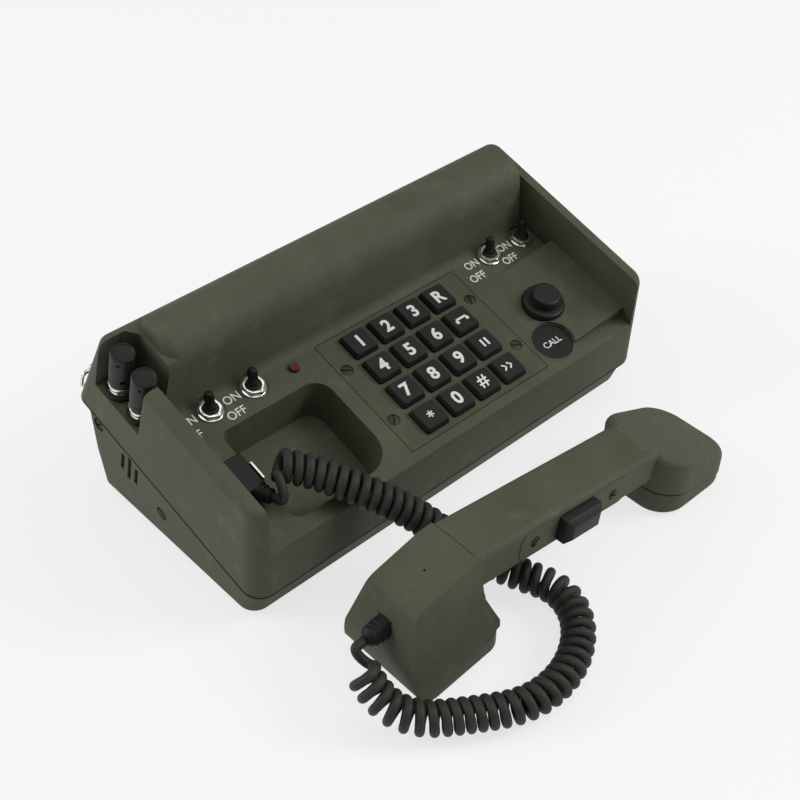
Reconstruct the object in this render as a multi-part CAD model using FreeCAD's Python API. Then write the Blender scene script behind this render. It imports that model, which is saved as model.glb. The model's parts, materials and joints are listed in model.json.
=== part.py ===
import FreeCAD, Part
import math
import os

# Field telephone: a wedge shaped lower case, a moulded upper case with two
# raised cheeks and a humped back, a keypad, four toggle switches, a hook
# button, a call button, two binding posts, and a handset on a coiled cord.
# X runs along the case, the user sits on the -Y side, +Z is up, and the
# origin is on the table below the middle of case and handset.  Millimetres.

# the case
case_length = 240.0
case_depth = 129.5
case_tilt = 16.0
parting_front_height = 17.2
case_front_reach = 26.6
case_wall = 3.0
side_draft = 1.8
front_lean = 13.5
front_corner_radius = 9.0
back_corner_radius = 6.0
top_edge_radius = 4.0

cheek_height = 48.5
deck_thickness = 4.0
cheek_width = 8.7
deck_height = 24.0
lip_radius = 1.2

hump_centre_y = 105.0
hump_centre_z = 39.0
hump_radius = 16.2
hump_slope = 70.0
hump_foot_radius = 6.0
hump_end_radius = 5.0
hump_left_inset = 20.5
hump_right_inset = 8.0

# lower case
gasket_thickness = 0.8
gasket_inset = 1.0
lower_inset = 1.4
lower_back_inset = 4.0
lower_front_rake = 7.0
lower_taper = 0.8
lower_back_kick = 3.0
lower_kick_height = 22.0
lower_corner_radius = 8.0
lower_bottom_radius = 2.0
foot_height = 1.5
foot_diameter = 13.0
foot_inset_x = 16.0
foot_inset_y = 15.0

# vents and side screws in the lower case
vent_count = 3
vent_pitch = 5.0
vent_width = 2.4
vent_length = 11.5
vent_first_y = 95.5
vent_top_drop = 8.2
vent_extra = 4.4
side_screw_diameter = 7.0
side_screw_front_y = 66.0
side_screw_back_y = 114.0
side_screw_drop_front = 19.0
side_screw_drop_back = 8.0
screw_sink = 1.2
board_height = 9.0
board_hole_x = 88.0
board_hole_y = 34.0
board_boss_diameter = 8.0
sounder_diameter = 24.0
sounder_thickness = 6.0
sounder_gap = 0.05

# handset well, ramp
well_left = 27.4
well_right = 83.2
well_front = 12.8
well_back = 64.6
well_depth = 20.0
well_draft = 3.0
well_radius_front_left = 6.0
well_radius_back_left = 4.5
well_radius_back_right = 9.0
well_radius_front_right = 14.0

ramp_left = 188.0
ramp_front = 13.6
ramp_back = 64.0
ramp_rise = 6.0

# terminal pocket
pocket_front = 85.0
pocket_back = 116.5
pocket_width = 18.4
pocket_floor = 20.0
pocket_corner = 5.0

post_x = 7.6
post_first_y = 92.8
post_pitch = 15.2
post_washer_diameter = 12.4
post_washer_height = 2.2
post_ring_diameter = 10.4
post_ring_height = 2.6
post_stud_diameter = 5.0
post_cap_diameter = 12.0
post_cap_height = 25.0
post_cap_gap = 0.3
post_travel = 2.4
post_skirt_depth = 4.0
post_stud_height = 15.0
post_clearance = 0.05
post_hole_diameter = 2.6
post_nut_diameter = 6.4
post_nut_height = 2.5

# keypad
panel_left = 91.5
panel_right = 177.5
panel_front = 11.0
panel_back = 78.6
panel_thickness = 2.2
panel_gap = 0.35
panel_screw_inset_x = 4.2
panel_screw_y_front = 28.4
panel_screw_y_back = 60.8
panel_screw_diameter = 5.8
panel_screw_shank = 2.9
key_first_x = 109.8
key_first_y = 20.5
key_pitch_x = 16.5
key_pitch_y = 16.2
key_size = 13.3
key_gap = 0.3
key_corner_radius = 1.2
key_proud = 3.0
key_draft = 0.7
key_travel = 1.5
key_flange = 0.6
key_flange_thickness = 1.0
mat_thickness = 1.5
board_thickness = 1.6

# toggle switches
toggle_y = 76.2
toggle_x = (31.4, 54.6, 201.0, 223.4)
toggle_rest = 19.0
toggle_spot_diameter = 14.0
toggle_spot_depth = 0.4
toggle_bushing_diameter = 6.4
toggle_nut_flats = 9.8
toggle_nut_height = 2.2
toggle_ring_diameter = 11.4
toggle_ring_height = 0.8
toggle_collar_height = 0.5
toggle_cup_diameter = 5.0
toggle_ball_diameter = 4.2
toggle_pivot_drop = 1.5
toggle_neck_diameter = 2.6
toggle_skirt_diameter = 5.8
toggle_skirt_start = 3.1
toggle_lever_diameter = 4.4
toggle_lever_length = 12.5
toggle_body_width = 8.0
toggle_body_length = 9.0
toggle_body_height = 11.0

# lamp and buttons
lamp_x = 76.2
lamp_y = 74.6
lamp_diameter = 5.0
lamp_proud = 1.8

hook_x = 201.4
hook_y = 38.8
hook_seat_drop = 0.4
hook_collar_diameter = 20.8
hook_collar_height = 4.8
hook_cap_diameter = 14.2
hook_cap_proud = 5.2
hook_cap_clearance = 0.06
hook_travel = 4.0
hook_flange = 2.0
hook_flange_thickness = 1.6
hook_switch_wall = 2.2
hook_switch_depth = 9.0

call_x = 190.0
call_y = 20.1
call_diameter = 20.4
call_bezel_width = 0.7
call_bezel_proud = 0.15
call_recess = 0.3
call_thickness = 1.6
call_gap = 0.1
call_travel = 0.8
call_stem_diameter = 12.0
call_switch_diameter = 17.6
call_switch_depth = 7.0

# strap rings
strap_end = 11.0
strap_z = 9.0
strap_lug_width = 8.0
strap_lug_height = 7.0
strap_lug_reach = 3.4
strap_lug_plate = 1.2
strap_wire_diameter = 1.8
strap_ring_width = 14.0
strap_ring_drop = 11.0
strap_bend_radius = 2.6
strap_clearance = 0.08
strap_ring_tuck = 7.0

# base cord gland
gland_x = 19.0
gland_front_y = 31.0
gland_length = 18.0
gland_width = 12.0
gland_height = 8.5
gland_clip_thickness = 0.8
gland_clip_inset = 2.0
gland_clip_length = 9.0
base_boot_diameter = 7.6
base_boot_tip = 6.2
base_boot_length = 9.0
base_boot_swing = 20.0
base_boot_lift = 15.0
base_boot_shift = 1.5

# coiled cord
cord_diameter = 3.9
coil_diameter = 15.0
coil_pitch = 4.657
coil_hand = -1
coil_start_angle = 15.0
coil_lead_in = 20.0
coil_lead_out = 364.0
coil_route = [(-88.0, -3.6, 61.0), (-78.0, -11.6, 57.5), (-65.2, -30.2, 50.8), (-48.8, -48.0, 37.7),
              (-35.6, -65.2, 18.6), (-22.0, -80.6, 8.6), (-13.5, -99.6, 8.2), (-21.5, -118.6, 8.2),
              (-42.0, -131.6, 8.2), (-66.0, -132.6, 8.2), (-88.0, -119.6, 8.2), (-107.0, -107.1, 10.0),
              (-114.5, -92.6, 18.0), (-113.0, -82.6, 28.0)]

# handset
handle_left = -57.0
handle_right = 54.0
handle_top_left = 52.3
handle_fall = 0.140
handle_bottom_left = 32.2
handle_bottom_fall = 0.112
handset_y = -77.6
handle_width = 27.0
handle_edge_radius = 3.0

ear_left = 54.0
ear_right = 103.6
ear_width = 47.0
ear_y_shift = -0.6
ear_corner_radius = 15.0
ear_end_height = 15.0
ear_seam_left = 14.5
ear_seam_right = 5.2
ear_edge_radius = 4.0
cap_gap = 0.5
ear_cap_radius = 3.0
ear_dish_diameter = 34.0
ear_dish_depth = 1.4

mouth_left = -105.0
mouth_right = -50.0
mouth_seam_right = 15.0
mouth_seam_slope = 0.35
mouth_top_width = 30.0
mouth_base_width = 45.0
mouth_corner_radius = 12.0
mouth_edge_radius = 2.5
mouth_nose_radius = 27.0
mouth_top_drop = 1.8
mouth_toe = 12.0
mouth_flare_height = 9.0
mouth_y_shift = -1.0
mouth_cap_rise = 4.5
sound_hole_diameter = 2.2
sound_hole_pitch = 5.0
sound_hole_depth = 2.0

ptt_centre_x = 1.0
ptt_plate_length = 68.0
ptt_plate_height = 14.2
ptt_plate_thickness = 1.0
ptt_screw_pitch = 50.0
ptt_screw_diameter = 5.0
ptt_button_length = 22.0
ptt_button_height = 12.4
ptt_button_proud = 7.0
ptt_button_chamfer = 2.6
ptt_plate_corner = 4.0
ptt_plate_sunk = 0.7
ptt_flange = 1.6
ptt_flange_thickness = 1.2
ptt_travel = 2.0
ptt_gap = 0.3

handset_boot_diameter = 10.0
handset_boot_tip = 7.0
handset_boot_length = 14.0
handset_boot_x = -95.0
handset_boot_z = 37.5
handset_boot_shift = 0.0
handset_boot_fall = 16.0

V = FreeCAD.Vector
HALF = case_length / 2.0
TILT = math.radians(case_tilt)
LEAN = math.tan(math.radians(front_lean))


def to_world(shape):
    place = FreeCAD.Placement(
        V(0, -case_front_reach, parting_front_height),
        FreeCAD.Rotation(V(1, 0, 0), case_tilt))
    return shape.transformed(place.toMatrix(), True)


def deck_point(x, y, z):
    return V(x, y * math.cos(TILT) - z * math.sin(TILT) - case_front_reach,
             parting_front_height + y * math.sin(TILT) + z * math.cos(TILT))


def prism_x(points, x0, x1):
    wire = Part.makePolygon([V(x0, y, z) for y, z in points] + [V(x0, *points[0])])
    return Part.Face(wire).extrude(V(x1 - x0, 0, 0))


def prism_y(points, y0, y1):
    wire = Part.makePolygon([V(x, y0, z) for x, z in points] + [V(points[0][0], y0, points[0][1])])
    return Part.Face(wire).extrude(V(0, y1 - y0, 0))


def box(x0, x1, y0, y1, z0, z1):
    return Part.makeBox(x1 - x0, y1 - y0, z1 - z0, V(x0, y0, z0))


def rod(x, y, z0, z1, diameter):
    return Part.makeCylinder(diameter / 2.0, z1 - z0, V(x, y, z0))


def fillet(shape, radius, chosen):
    edges = [e for e in shape.Edges if chosen(e)]
    if not edges:
        raise ValueError("no edge to round")
    return shape.makeFillet(radius, edges)


def along(edge, axis):
    a = edge.Vertexes[0].Point
    b = edge.Vertexes[-1].Point
    d = b - a
    return d.Length > 1e-6 and abs(d.normalize().dot(axis)) > 0.999


def rounded(x0, x1, y0, y1, z, radii):
    # radii go front left, front right, back right, back left
    fl, fr, br, bl = radii
    k = math.sqrt(0.5)
    pts = [V(x0 + fl, y0, z), V(x1 - fr, y0, z),
           V(x1 - fr + fr * k, y0 + fr - fr * k, z), V(x1, y0 + fr, z), V(x1, y1 - br, z),
           V(x1 - br + br * k, y1 - br + br * k, z), V(x1 - br, y1, z), V(x0 + bl, y1, z),
           V(x0 + bl - bl * k, y1 - bl + bl * k, z), V(x0, y1 - bl, z), V(x0, y0 + fl, z),
           V(x0 + fl - fl * k, y0 + fl - fl * k, z)]
    edges = [Part.LineSegment(pts[0], pts[1]).toShape(),
             Part.Arc(pts[1], pts[2], pts[3]).toShape(),
             Part.LineSegment(pts[3], pts[4]).toShape(),
             Part.Arc(pts[4], pts[5], pts[6]).toShape(),
             Part.LineSegment(pts[6], pts[7]).toShape(),
             Part.Arc(pts[7], pts[8], pts[9]).toShape(),
             Part.LineSegment(pts[9], pts[10]).toShape(),
             Part.Arc(pts[10], pts[11], pts[0]).toShape()]
    return Part.Wire(edges)


def rounded_prism(x0, x1, y0, y1, z0, z1, radii):
    return Part.Face(rounded(x0, x1, y0, y1, z0, radii)).extrude(V(0, 0, z1 - z0))


def save(name, shape):
    shape.exportStep("parts/" + name + ".step")


def whole(shapes):
    return Part.makeCompound(shapes)


# upper case, deck frame
# Deck frame: x from the left side of the case, y back from the front of
# the parting line along the tilted deck, z square to the deck.
def dx(x):
    return x - HALF


hump_n = math.radians(hump_slope)
face_y = hump_centre_y - hump_radius * math.sin(hump_n)
face_z = hump_centre_z + hump_radius * math.cos(hump_n)
reach = math.hypot(case_depth - hump_centre_y, hump_centre_z)
aim = math.atan2(hump_centre_z, hump_centre_y - case_depth)
back_angle = aim - math.asin(hump_radius / reach)
back_run = math.sqrt(reach * reach - hump_radius * hump_radius)
back_lean = math.cos(back_angle) / math.sin(back_angle)
back_y = case_depth + back_run * math.cos(back_angle)
back_z = back_run * math.sin(back_angle)


def back_at(z):
    return case_depth + back_lean * z


def front_at(z):
    return LEAN * z


def side_at(z):
    return HALF - side_draft * z / cheek_height


def hump_prism(x0, x1, shrink, floor_y, floor_z):
    r = hump_radius - shrink
    fy = hump_centre_y - r * math.sin(hump_n)
    fz = hump_centre_z + r * math.cos(hump_n)
    by = hump_centre_y + r * math.sin(back_angle)
    bz = hump_centre_z - r * math.cos(back_angle)
    drop = fz - floor_z
    start = V(x0, fy - drop / math.tan(hump_n), floor_z)
    low = V(x0, by - back_lean * (bz - floor_z), floor_z)
    edges = [Part.LineSegment(start, V(x0, fy, fz)).toShape(),
             Part.Arc(V(x0, fy, fz), V(x0, hump_centre_y, hump_centre_z + r), V(x0, by, bz)).toShape(),
             Part.LineSegment(V(x0, by, bz), low).toShape(),
             Part.LineSegment(low, start).toShape()]
    return Part.Face(Part.Wire(edges)).extrude(V(x1 - x0, 0, 0))


block = prism_x([(0, 0), (front_at(cheek_height), cheek_height),
                 (back_at(cheek_height), cheek_height), (case_depth, 0)], -HALF, HALF)
sides = prism_y([(-HALF, -1), (HALF, -1), (side_at(cheek_height + 1), cheek_height + 1),
                 (-side_at(cheek_height + 1), cheek_height + 1)], -20, case_depth + 20)
block = block.common(sides)


def upright(e):
    zs = [v.Point.z for v in e.Vertexes]
    return max(zs) - min(zs) > cheek_height - 1


def front_half(e):
    return e.BoundBox.YMax < case_depth / 2


block = fillet(block, front_corner_radius, lambda e: upright(e) and front_half(e))
block = fillet(block, back_corner_radius, lambda e: upright(e) and e.BoundBox.YMin > case_depth / 2)
block = fillet(block, top_edge_radius, lambda e: e.BoundBox.ZMin > cheek_height - 0.01)

inner = HALF - cheek_width
channel = box(-inner, inner, -20, hump_centre_y - 6, deck_height, cheek_height + 20)
shell = block.cut(channel)
hump = hump_prism(-HALF + hump_left_inset, HALF - hump_right_inset, 0.0, 0, deck_height - 6)


def hump_end(e):
    flat = e.BoundBox.XMax - e.BoundBox.XMin < 0.01
    return flat and e.BoundBox.ZMax > hump_centre_z + hump_radius - 0.1


hump = fillet(hump, hump_end_radius, hump_end)
hump_floor_fill = hump_prism(-inner, -HALF + hump_left_inset + 8, 0.0, 0, deck_height - 6)
hump_floor_fill = hump_floor_fill.common(box(-HALF, 0, 0, 200, 0, cheek_height))
shell = shell.fuse([hump, hump_floor_fill]).removeSplitter()


def hump_foot(e):
    b = e.BoundBox
    level = abs(b.ZMin - deck_height) < 0.01 and abs(b.ZMax - deck_height) < 0.01
    return level and b.YMin > 60 and along(e, V(1, 0, 0)) and b.XMax - b.XMin > 100


shell = fillet(shell, hump_foot_radius, hump_foot)


def lip(e):
    b = e.BoundBox
    level = abs(b.ZMin - deck_height) < 0.01 and abs(b.ZMax - deck_height) < 0.01
    return level and b.YMax < 20 and along(e, V(1, 0, 0))


shell = fillet(shell, lip_radius, lip)

# ramp that carries the ear end of the handset
ramp = prism_y([(dx(ramp_left), deck_height), (inner + 1, deck_height + ramp_rise),
                (inner + 1, deck_height - 2), (dx(ramp_left), deck_height - 2)], ramp_front, ramp_back)
shell = shell.fuse(ramp).removeSplitter()

# hollow inside
w = case_wall
low_room = prism_x([(front_at(0) + w, -1), (front_at(pocket_floor - w) + w, pocket_floor - w),
                    (back_at(pocket_floor - w) - w, pocket_floor - w), (back_at(-1) - w, -1)],
                   -side_at(0) + w + 1, side_at(0) - w - 1)
low_room = low_room.common(prism_y([(-side_at(0) + w + 1, -2), (side_at(0) - w - 1, -2),
                                    (side_at(0) - w - 1, 60), (-side_at(0) + w + 1, 60)], -20, 200))
room_left = dx(pocket_width + w)
under = deck_height - deck_thickness
deck_room = box(room_left, inner - 1, front_at(deck_height) + w, back_at(deck_height) - w,
                pocket_floor - w - 1, under)
hump_room = hump_prism(room_left, HALF - hump_right_inset - w - 2, w, 0, pocket_floor - w - 1)
shell = shell.cut([low_room, deck_room, hump_room])

# handset well with its own walls
radii = (well_radius_front_left, well_radius_front_right, well_radius_back_right, well_radius_back_left)


def well_solid(grow, top, bottom):
    a = rounded(dx(well_left) - grow, dx(well_right) + grow, well_front - grow, well_back + grow,
                top, radii)
    k = well_draft
    b = rounded(dx(well_left) - grow + k, dx(well_right) + grow - k, well_front - grow + k * 0.6,
                well_back + grow - k, bottom, [max(r - k * 0.5, 1.0) for r in radii])
    return Part.makeLoft([a, b], True, True)


well_floor = deck_height - well_depth
well_skin = well_solid(w * 0.8, deck_height - 0.5, well_floor - w * 0.8)
well_room = well_solid(0.0, deck_height + 0.01, well_floor)
shell = shell.fuse(well_skin).cut(well_room)

# terminal pocket
c = pocket_corner
px1 = dx(pocket_width)
pocket_plan = [V(-HALF - 5, pocket_front, 0), V(px1 - c, pocket_front, 0), V(px1, pocket_front + c, 0),
               V(px1, pocket_back - c, 0), V(px1 - c, pocket_back, 0), V(-HALF - 5, pocket_back, 0)]
pocket_face = Part.Face(Part.makePolygon(pocket_plan + [pocket_plan[0]]))
pocket = pocket_face.extrude(V(0, 0, 60))
pocket.translate(V(0, 0, pocket_floor))
back_cut = prism_x([(-20, 0), (back_at(0) - case_wall - 0.6, 0),
                    (back_at(80) - case_wall - 0.6, 80), (-20, 80)], -HALF - 10, HALF)
pocket = pocket.common(back_cut)
shell = shell.cut(pocket)

# seats and holes in the deck
seat_z = deck_height - hook_seat_drop
call_seat = deck_height - call_recess - call_thickness - call_travel - 0.1
ledge_x = panel_screw_inset_x + 2.3
ledge_y = 2.0
cuts = [box(dx(panel_left) - panel_gap, dx(panel_right) + panel_gap, panel_front - panel_gap,
            panel_back + panel_gap, deck_height - panel_thickness, deck_height + 1),
        box(dx(panel_left) + ledge_x, dx(panel_right) - ledge_x, panel_front + ledge_y,
            panel_back - ledge_y, under - 1, deck_height)]
spot_z = deck_height - toggle_spot_depth
for tx in toggle_x:
    cuts.append(rod(dx(tx), toggle_y, spot_z, deck_height + 9, toggle_spot_diameter))
    cuts.append(rod(dx(tx), toggle_y, under - 1, deck_height + 1, toggle_bushing_diameter + 0.1))
cuts.append(rod(dx(lamp_x), lamp_y, under - 1, deck_height + 1, lamp_diameter + 0.1))
hook_hole = hook_cap_diameter + 2 * hook_flange + 0.6
cuts.append(rod(dx(hook_x), hook_y, seat_z, deck_height + 12, hook_collar_diameter + 0.4))
cuts.append(rod(dx(hook_x), hook_y, under - 1, seat_z + 1, hook_hole))
bezel_outer = call_diameter + 2 * (call_gap + call_bezel_width)
call_hole = call_stem_diameter + 1.0
cuts.append(rod(dx(call_x), call_y, call_seat, deck_height + 12, bezel_outer + 0.1))
cuts.append(rod(dx(call_x), call_y, under - 1, call_seat + 1, call_hole))
post_y = [post_first_y + i * post_pitch for i in range(2)]
for y in post_y:
    cuts.append(rod(dx(post_x), y, pocket_floor - w - 1, pocket_floor + 1, post_stud_diameter + 0.1))
panel_screw_x = (panel_left + panel_screw_inset_x, panel_right - panel_screw_inset_x)
panel_screw_y = (panel_screw_y_front, panel_screw_y_back)
panel_screws = [(dx(sx), sy) for sx in panel_screw_x for sy in panel_screw_y]
for sx, sy in panel_screws:
    cuts.append(rod(sx, sy, under - 1, deck_height, panel_screw_shank + 0.1))
shell = shell.cut(cuts)
save("upper_case", to_world(shell))
print("upper case", shell.isValid(), len(shell.Solids), round(shell.Volume))

# lower case
gi = gasket_inset
gasket = rounded_prism(-HALF + gi, HALF - gi, gi, case_depth - gi, -gasket_thickness, 0,
                       (front_corner_radius, front_corner_radius, back_corner_radius, back_corner_radius))
rim = case_wall + 1.5
gasket = gasket.cut(box(-HALF + rim, HALF - rim, rim, case_depth - rim, -5, 5))
save("case_gasket", to_world(gasket))

a = deck_point(0, lower_inset, -gasket_thickness)
b = deck_point(0, case_depth - lower_back_inset, -gasket_thickness)
front_foot = -case_front_reach + lower_front_rake
back_foot = b.y - lower_back_kick
side_top = HALF - lower_inset
side_low = side_top - lower_taper


def lower_form(grow, floor):
    # floor is the height of the underside, grow is negative for the inside
    lift = -10 * grow if grow < 0 else 0
    yz = [(a.y - grow, a.z + lift * 0), (front_foot - grow, floor), (back_foot + grow, floor),
          (b.y + grow, max(lower_kick_height, floor + 1)), (b.y + grow, b.z)]
    core = prism_x(yz, -HALF, HALF)
    return core.common(prism_y([(-side_low - grow, 0), (side_low + grow, 0),
                                (side_top + grow, b.z + 1), (-side_top - grow, b.z + 1)], -200, 200))


lower = lower_form(0.0, foot_height)


def corner(e):
    h = e.BoundBox
    return abs(h.XMin) > side_low - 1 and abs(h.XMax) > side_low - 1 and h.ZMax - h.ZMin > 8 \
        and h.YMax - h.YMin < 12 and (h.YMax < front_foot + 1 or h.YMin > back_foot - 1)


lower = fillet(lower, lower_corner_radius, lambda e: corner(e) and e.BoundBox.YMax < 0)
lower = fillet(lower, lower_corner_radius * 0.6, lambda e: corner(e) and e.BoundBox.YMin > 0)
lower = fillet(lower, lower_bottom_radius, lambda e: e.BoundBox.ZMax < foot_height + 0.01)
room = lower_form(-case_wall, foot_height + case_wall)
lift = room.copy()
lift.translate(V(0, 0, 1.0))
lower = lower.cut([room, lift])

# vents: slots square to the parting line, the middle one longer
vents = []
for i in range(vent_count):
    extra = vent_extra if i == vent_count // 2 else 0.0
    y = vent_first_y - i * vent_pitch
    top = -vent_top_drop + extra / 2.0
    slot = box(-HALF - 1, -side_low + case_wall + 1, y - vent_width / 2.0, y + vent_width / 2.0,
               top - vent_length - extra, top)
    vents.append(to_world(slot))
lower = lower.cut(vents)

# side screws in round sinks
screws = []
sinks = []
for side in (-1, 1):
    for y, z in ((side_screw_front_y, -side_screw_drop_front), (side_screw_back_y, -side_screw_drop_back)):
        face_x = side_top - 0.4
        sink = Part.makeCylinder(side_screw_diameter / 2.0, 10, V(side * (face_x - screw_sink), y, z), V(side, 0, 0))
        head = Part.makeCylinder(side_screw_diameter / 2.0 - 0.5, screw_sink * 0.8,
                                 V(side * (face_x - screw_sink), y, z), V(side, 0, 0))
        sinks.append(to_world(sink))
        screws.append(to_world(head))
lower = lower.cut(sinks)

# bosses that carry the main board
boss_top = board_height
board_y = (front_foot + back_foot) / 2.0
bosses = [rod(x, y, foot_height + 1, boss_top, board_boss_diameter) for x in (-board_hole_x, board_hole_x)
          for y in (board_y - board_hole_y, board_y + board_hole_y)]
lower = lower.fuse(bosses)
save("lower_case", lower)
save("case_screws", whole(screws))
print("lower case", lower.isValid(), len(lower.Solids), round(lower.Volume))

feet_y = (front_foot + foot_inset_y, back_foot - foot_inset_y)
feet_x = side_low - foot_inset_x
feet = [rod(x, y, 0, foot_height, foot_diameter) for x in (-feet_x, feet_x) for y in feet_y]
save("rubber_feet", whole(feet))

board = box(-board_hole_x - 8, board_hole_x + 8, board_y - board_hole_y - 7, board_y + board_hole_y + 7,
            boss_top, boss_top + board_thickness)
save("main_board", board)

sounder = Part.makeCylinder(sounder_diameter / 2.0, sounder_thickness,
                            V(-side_low + case_wall + sounder_gap, vent_first_y - (vent_count // 2) * vent_pitch,
                              -vent_top_drop - vent_length / 2.0), V(1, 0, 0))
save("sounder", to_world(sounder))

# keypad
panel_z = deck_height - panel_thickness
panel = box(dx(panel_left), dx(panel_right), panel_front, panel_back, panel_z, deck_height)
key_names = ("star", "0", "hash", "redial", "7", "8", "9", "pause",
             "4", "5", "6", "release", "1", "2", "3", "recall")
window = key_size / 2.0 + key_gap
windows = []
for i in range(16):
    x = dx(key_first_x) + (i % 4) * key_pitch_x
    y = key_first_y + (i // 4) * key_pitch_y
    windows.append(rounded_prism(x - window, x + window, y - window, y + window,
                                 panel_z - 1, deck_height + 1, [key_corner_radius + key_gap] * 4))
sink_holes = []
heads = []
for sx, sy in panel_screws:
    sink_holes.append(rod(sx, sy, deck_height - screw_sink, deck_height + 1, panel_screw_diameter + 0.3))
    sink_holes.append(rod(sx, sy, panel_z - 1, deck_height, panel_screw_shank + 0.1))
    head = rod(sx, sy, deck_height - screw_sink, deck_height - 0.1, panel_screw_diameter)
    heads.append(head.fuse(rod(sx, sy, under + 0.2, deck_height - 0.5, panel_screw_shank)))
panel = panel.cut(windows + sink_holes)
save("keypad_panel", to_world(panel))
save("keypad_panel_screws", to_world(whole(heads)))

flange_half = key_size / 2.0 + key_flange
for i in range(16):
    x = dx(key_first_x) + (i % 4) * key_pitch_x
    y = key_first_y + (i // 4) * key_pitch_y
    h = key_size / 2.0
    t = h - key_draft
    r = key_corner_radius
    z0 = panel_z - key_flange_thickness
    low = rounded(x - h, x + h, y - h, y + h, z0, [r] * 4)
    mid = rounded(x - h, x + h, y - h, y + h, deck_height + key_proud * 0.45, [r] * 4)
    high = rounded(x - t, x + t, y - t, y + t, deck_height + key_proud, [r] * 4)
    key = Part.Face(low).extrude(V(0, 0, deck_height + key_proud * 0.45 - z0))
    key = key.fuse(Part.makeLoft([mid, high], True, True))
    key = key.fuse(box(x - flange_half, x + flange_half, y - flange_half, y + flange_half,
                       z0, z0 + key_flange_thickness - 0.05)).removeSplitter()
    save("key_" + key_names[i], to_world(key))

mat_top = panel_z - key_flange_thickness - key_travel - 0.3
mat_left = dx(panel_left) + 2.5
mat_right = dx(panel_right) - 2.5
mat = box(mat_left, mat_right, panel_front + 0.6, panel_back - 0.6, mat_top - mat_thickness, under)
mat = mat.cut(box(dx(panel_left) + ledge_x, dx(panel_right) - ledge_x, panel_front + ledge_y,
                  panel_back - ledge_y, mat_top, under + 1))
save("keypad_mat", to_world(mat))
keypad_board = box(mat_left, mat_right, panel_front + 0.6, panel_back - 0.6,
                   mat_top - mat_thickness - board_thickness, mat_top - mat_thickness)
save("keypad_board", to_world(keypad_board))

# toggle switches
nut_z = spot_z + toggle_ring_height
nut_top = nut_z + toggle_nut_height
collar_top = nut_top + toggle_collar_height
pivot_z = collar_top - toggle_pivot_drop
bodies = []
nuts = []
for n, tx in enumerate(toggle_x):
    x = dx(tx)
    body = box(x - toggle_body_width / 2.0, x + toggle_body_width / 2.0, toggle_y - toggle_body_length / 2.0,
               toggle_y + toggle_body_length / 2.0, under - toggle_body_height, under)
    bodies.append(body)
    ring = rod(x, toggle_y, spot_z, nut_z, toggle_ring_diameter)
    flat = toggle_nut_flats / 2.0 / math.cos(math.pi / 6)
    corners = [V(x + flat * math.cos(math.radians(60 * k + 10)),
                 toggle_y + flat * math.sin(math.radians(60 * k + 10)), nut_z) for k in range(6)]
    nut = Part.Face(Part.makePolygon(corners + [corners[0]])).extrude(V(0, 0, toggle_nut_height))
    cone = Part.makeCone(flat + 2.0, flat - 0.6, 2.6 + toggle_nut_height - 2.6, V(x, toggle_y, nut_z))
    nut = nut.common(cone)
    bushing = rod(x, toggle_y, under, collar_top, toggle_bushing_diameter)
    piece = ring.fuse([nut, bushing]).removeSplitter()
    cup = rod(x, toggle_y, pivot_z - toggle_cup_diameter / 2.0 - 0.3, collar_top + 1, toggle_cup_diameter)
    nuts.append(piece.cut(cup))
    base = V(x, toggle_y, pivot_z)
    up = V(0, 0, 1)
    lever = Part.makeSphere(toggle_ball_diameter / 2.0, base)
    neck = Part.makeCylinder(toggle_neck_diameter / 2.0, toggle_skirt_start + 0.5, base, up)
    skirt = Part.makeCone(toggle_skirt_diameter / 2.0, toggle_lever_diameter / 2.0 - 0.3, 2.2,
                          base + up * toggle_skirt_start, up)
    shaft = Part.makeCylinder(toggle_lever_diameter / 2.0, toggle_lever_length - toggle_skirt_start - 1.5,
                              base + up * (toggle_skirt_start + 0.8), up)
    tip = Part.makeSphere(toggle_lever_diameter / 2.0,
                          base + up * (toggle_lever_length - 0.7))
    lever = lever.fuse([neck, skirt, shaft, tip]).removeSplitter()
    lever.rotate(base, V(1, 0, 0), -toggle_rest)
    save("toggle_lever_%d" % (n + 1), to_world(lever))
    if n == 0:
        print("toggle pivot height in the deck frame", round(pivot_z, 3))
save("toggle_bodies", to_world(whole(bodies)))
save("toggle_nuts", to_world(whole(nuts)))

# lamp, hook and call
lens = rod(dx(lamp_x), lamp_y, under - 1.5, deck_height + lamp_proud * 0.4, lamp_diameter)
dome = Part.makeSphere(lamp_diameter / 2.0, V(dx(lamp_x), lamp_y, deck_height + lamp_proud * 0.4))
dome = dome.common(box(dx(lamp_x) - 9, dx(lamp_x) + 9, lamp_y - 9, lamp_y + 9,
                       deck_height, deck_height + lamp_proud))
save("status_lamp", to_world(lens.fuse(dome).removeSplitter()))

hx = dx(hook_x)
collar_z = seat_z + hook_collar_height
collar = rod(hx, hook_y, seat_z, collar_z, hook_collar_diameter)
collar = fillet(collar, 1.4, lambda e: e.BoundBox.ZMin > collar_z - 0.01)
collar = collar.cut(rod(hx, hook_y, seat_z - 1, collar_z + 1, hook_cap_diameter + 2 * hook_cap_clearance))
save("hook_collar", to_world(collar))
cap_top = collar_z + hook_cap_proud
flange_top = seat_z - 0.1
cap = rod(hx, hook_y, flange_top - hook_flange_thickness, cap_top, hook_cap_diameter)
cap = fillet(cap, 1.5, lambda e: e.BoundBox.ZMin > cap_top - 0.01)
cap = cap.fuse(rod(hx, hook_y, flange_top - hook_flange_thickness, flange_top,
                   hook_cap_diameter + 2 * hook_flange)).removeSplitter()
save("hook_button", to_world(cap))
switch = rod(hx, hook_y, under - hook_switch_depth, under, hook_hole + 2 * hook_switch_wall)
switch = switch.cut(rod(hx, hook_y, under - hook_switch_depth + 2, under + 1, hook_hole))
save("hook_switch", to_world(switch))

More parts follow.
